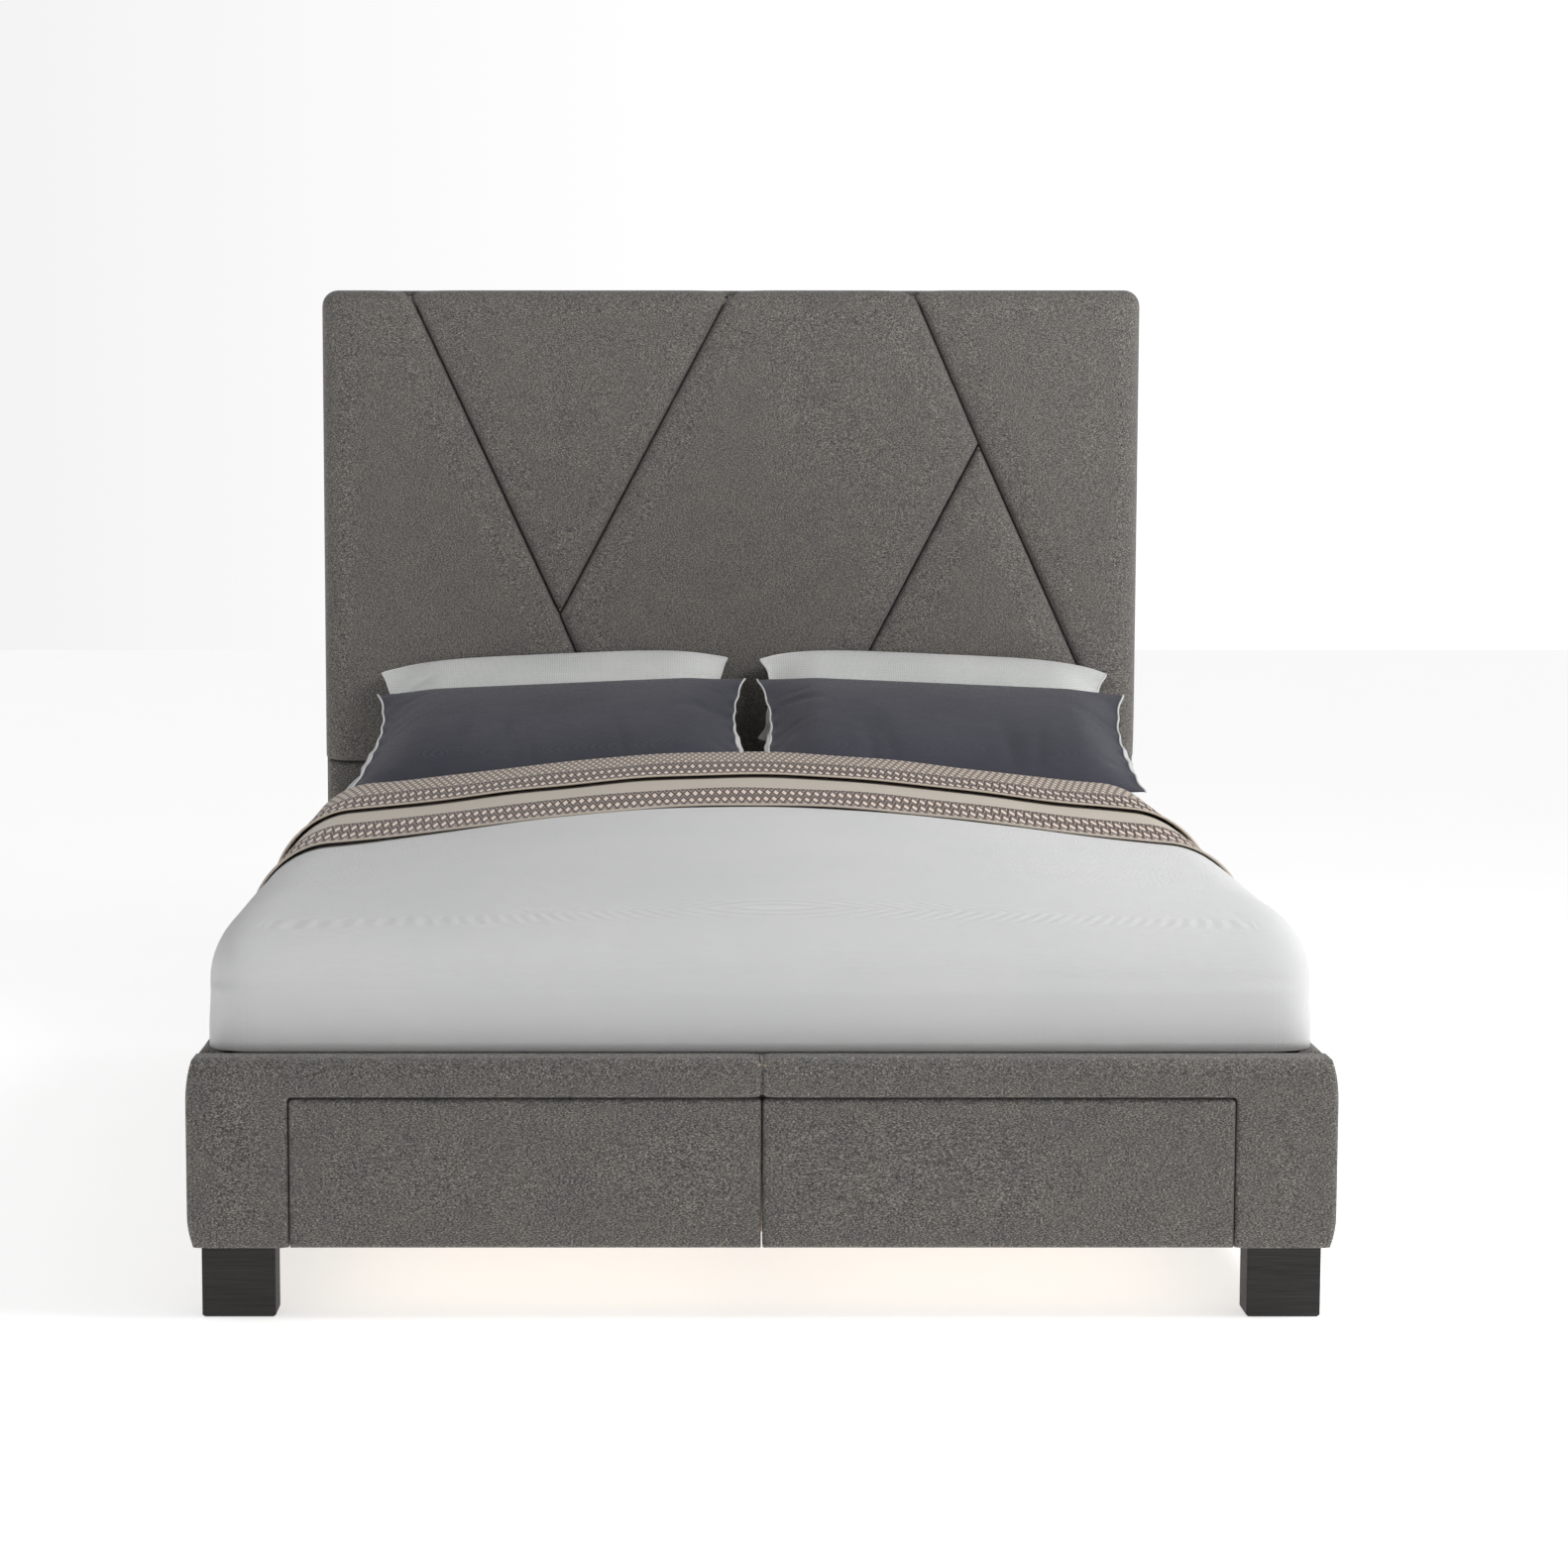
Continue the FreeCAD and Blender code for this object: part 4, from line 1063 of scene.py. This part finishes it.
def pillows():
    """Dark pillows with pale backs and piped ends, in front of white shams."""
    columns, rows = PILLOW_GRID
    for number, (name, side) in enumerate(SIDES.items()):
        node = "pillow_" + name
        placed, faces, border = cushion(node, **PILLOW, roll=side * ROLL, splay=SPLAY[name], seed=number)
        made = case_object(node + "_case", placed, faces,
                           (MATERIALS["pillow_cotton"], MATERIALS["pillow_back"]), rows * columns)
        belongs(made, "bed_frame", "pillow_cotton", node, fill=0.7)
        ends = {"right": border[columns:columns + rows + 1],
                "left": border[2 * columns + rows:] + border[:1]}
        for end, loop in ends.items():
            cord = tube(f"{node}_piping_{end}", placed[loop], 0.0019, MATERIALS["piping"])
            belongs(cord, "bed_frame", "pillow_cotton")
        node = "sham_" + name
        placed, faces, border = cushion(node, **SHAM, roll=side * ROLL, seed=9 + number)
        placed[:, 1] = np.minimum(placed[:, 1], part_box("headboard_panel_left")[0].y - 0.004)
        made = case_object(node + "_case", placed, faces, (MATERIALS["sham_cotton"],), rows * columns)
        belongs(made, "bed_frame", "sham_cotton", node, fill=0.6)
        hem = tube(f"{node}_hem", placed[border + border[:1]], 0.0016, MATERIALS["piping"])
        belongs(hem, "bed_frame", "sham_cotton")


# ---------------- CAD nodes that stay

EASED = {"leg_wood": 0.0018, "pine": 0.002, "drawer_board": 0.0008, "frame_timber": 0.001}


def finish_hard_parts():
    """Give every CAD node its finish, and ease the edges of those that show."""
    for row in frame["record"]["subparts"]:
        node = frame["nodes"][row["node"]]
        node.data.materials.clear()
        node.data.materials.append(MATERIALS[row["material_slot"]])
        if row["material_slot"] in EASED:
            weld = node.modifiers.new("weld", "WELD")
            weld.merge_threshold = 1e-5
            ease = node.modifiers.new("ease", "BEVEL")
            ease.width = EASED[row["material_slot"]]
            ease.segments = 2
            ease.limit_method = "ANGLE"
            ease.angle_limit = math.radians(50)


# ---------------- studio

def look_at(made, target):
    direction = Vector(target) - made.location
    made.rotation_euler = direction.to_track_quat("-Z", "Y").to_euler()


def soft_box(name, place, target, size, power):
    light = bpy.data.lights.new(name, "AREA")
    light.shape = "RECTANGLE"
    light.size, light.size_y = size
    light.energy = power
    made = bpy.data.objects.new(name, light)
    made.location = place
    SCENE.collection.objects.link(made)
    look_at(made, target)


# Where a fade begins and ends along each axis of the view's direction, with the brightness there.
SURROUND = {"Z": ((0.15, 1.04), (0.80, 0.30)), "X": ((-1.0, 0.56), (0.5, 1.10)),
            "Y": ((-0.9, 0.66), (0.2, 1.0))}


def surround():
    """White behind the bed, dimmer overhead, on the left and in front."""
    world = bpy.data.worlds.new("surround")
    SCENE.world = world
    world.use_nodes = True
    tree = Nodes(world.node_tree, "Generated")
    glow = 1.0
    for letter, ((low, near), (high, far)) in SURROUND.items():
        ends = {"From Min": low, "From Max": high, "To Min": near, "To Max": far}
        fade = tree.node("ShaderNodeMapRange", {"Value": tree.axis(letter), **ends},
                         interpolation_type="SMOOTHSTEP")
        glow = tree.times(glow, fade.outputs["Result"])
    backdrop = world.node_tree.nodes["Background"]
    tree.feed(backdrop.inputs["Strength"], glow)
    backdrop.inputs["Color"].default_value = (1, 1, 1, 1)


def studio():
    """A pale floor, a pale surround, a soft box on the right and a weak one on the left."""
    half = 14.0
    corners = [(-half, -half, 0), (half, -half, 0), (half, half, 0), (-half, half, 0)]
    mesh = bpy.data.meshes.new("floor")
    mesh.from_pydata(corners, [], [[0, 1, 2, 3]])
    floor = bpy.data.objects.new("floor", mesh)
    SCENE.collection.objects.link(floor)
    paint = Shade("floor_paint", Roughness=0.9, Specular_IOR_Level=0.1, Emission_Color=(1, 1, 1, 1),
                  Emission_Strength=0.58)
    patches = paint.noise((3, 3, 3), 2.0)
    paint.colour(paint.ramp(patches, (0.3, (0.90, 0.90, 0.90)), (0.7, (0.92, 0.92, 0.92))))
    mesh.materials.append(paint.material)
    surround()
    soft_box("key", (2.2, -1.2, 2.7), (0.5, -0.4, 0.6), (1.4, 1.2), 60)
    soft_box("fill", (-2.2, -1.0, 2.4), (-0.4, 1.0, 1.2), (1.2, 1.0), 9)
    SCENE.view_settings.view_transform = "Standard"


CAMERA_PLACE, CAMERA_TILT = (-0.1507, -5.9417, 1.2571), math.radians(84.181)
FOCAL_LENGTH, SENSOR_WIDTH, SIDE_SHIFT = 79.77, 36, 0.08206


def camera():
    """Standing before the foot, a little to the left of the middle, looking slightly down."""
    lens = bpy.data.cameras.new("camera")
    lens.lens = FOCAL_LENGTH
    lens.sensor_width = SENSOR_WIDTH
    lens.shift_x = SIDE_SHIFT
    made = bpy.data.objects.new("camera", lens)
    made.location = CAMERA_PLACE
    made.rotation_euler = (CAMERA_TILT, 0, 0)
    SCENE.collection.objects.link(made)
    SCENE.camera = made


MATERIALS = {
    "upholstery": upholstery(),
    "thread": thread(),
    "leg_wood": wood("leg_wood", (0.008, 0.007, 0.006), (0.013, 0.011, 0.010), "X", 0.6, coat=0.02),
    "pine": wood("pine", (0.40, 0.30, 0.19), (0.66, 0.54, 0.39), "X", 0.6),
    "drawer_board": wood("drawer_board", (0.43, 0.36, 0.28), (0.64, 0.56, 0.46), "Y", 0.45, 0.6),
    "frame_timber": wood("frame_timber", (0.34, 0.27, 0.19), (0.56, 0.46, 0.35), "X", 0.65),
    "slide_steel": metal("slide_steel", (0.62, 0.63, 0.65), 0.32),
    "bolt_steel": metal("bolt_steel", (0.55, 0.55, 0.56), 0.30),
    "bracket_steel": metal("bracket_steel", (0.05, 0.05, 0.055), 0.45, 0.2),
    "webbing": webbing("webbing", (0.02, 0.02, 0.02), 0.003),
    "dust_cloth": webbing("dust_cloth", (0.012, 0.012, 0.013), 0.0015),
    "ticking": cotton("ticking", (0.74, 0.74, 0.72), (0.84, 0.84, 0.82), 0.0012),
    "duvet_cotton": cotton("duvet_cotton", (0.78, 0.785, 0.79), (0.82, 0.82, 0.82), crease=0.0002),
    "pillow_cotton": cotton("pillow_cotton", (0.052, 0.053, 0.072), (0.078, 0.078, 0.102), sheen=0.3,
                            roughness=0.6),
    "pillow_back": cotton("pillow_back", (0.76, 0.76, 0.76), (0.84, 0.84, 0.83)),
    "piping": cotton("piping", (0.78, 0.78, 0.78), (0.86, 0.86, 0.85)),
    "sham_cotton": dotted_cotton(),
    "throw_weave": throw_weave(),
}

camera()
studio()
finish_hard_parts()
headboard()
footboard()
side_rails()
drawer_fronts()
mattress()
duvet()
throw()
pillows()
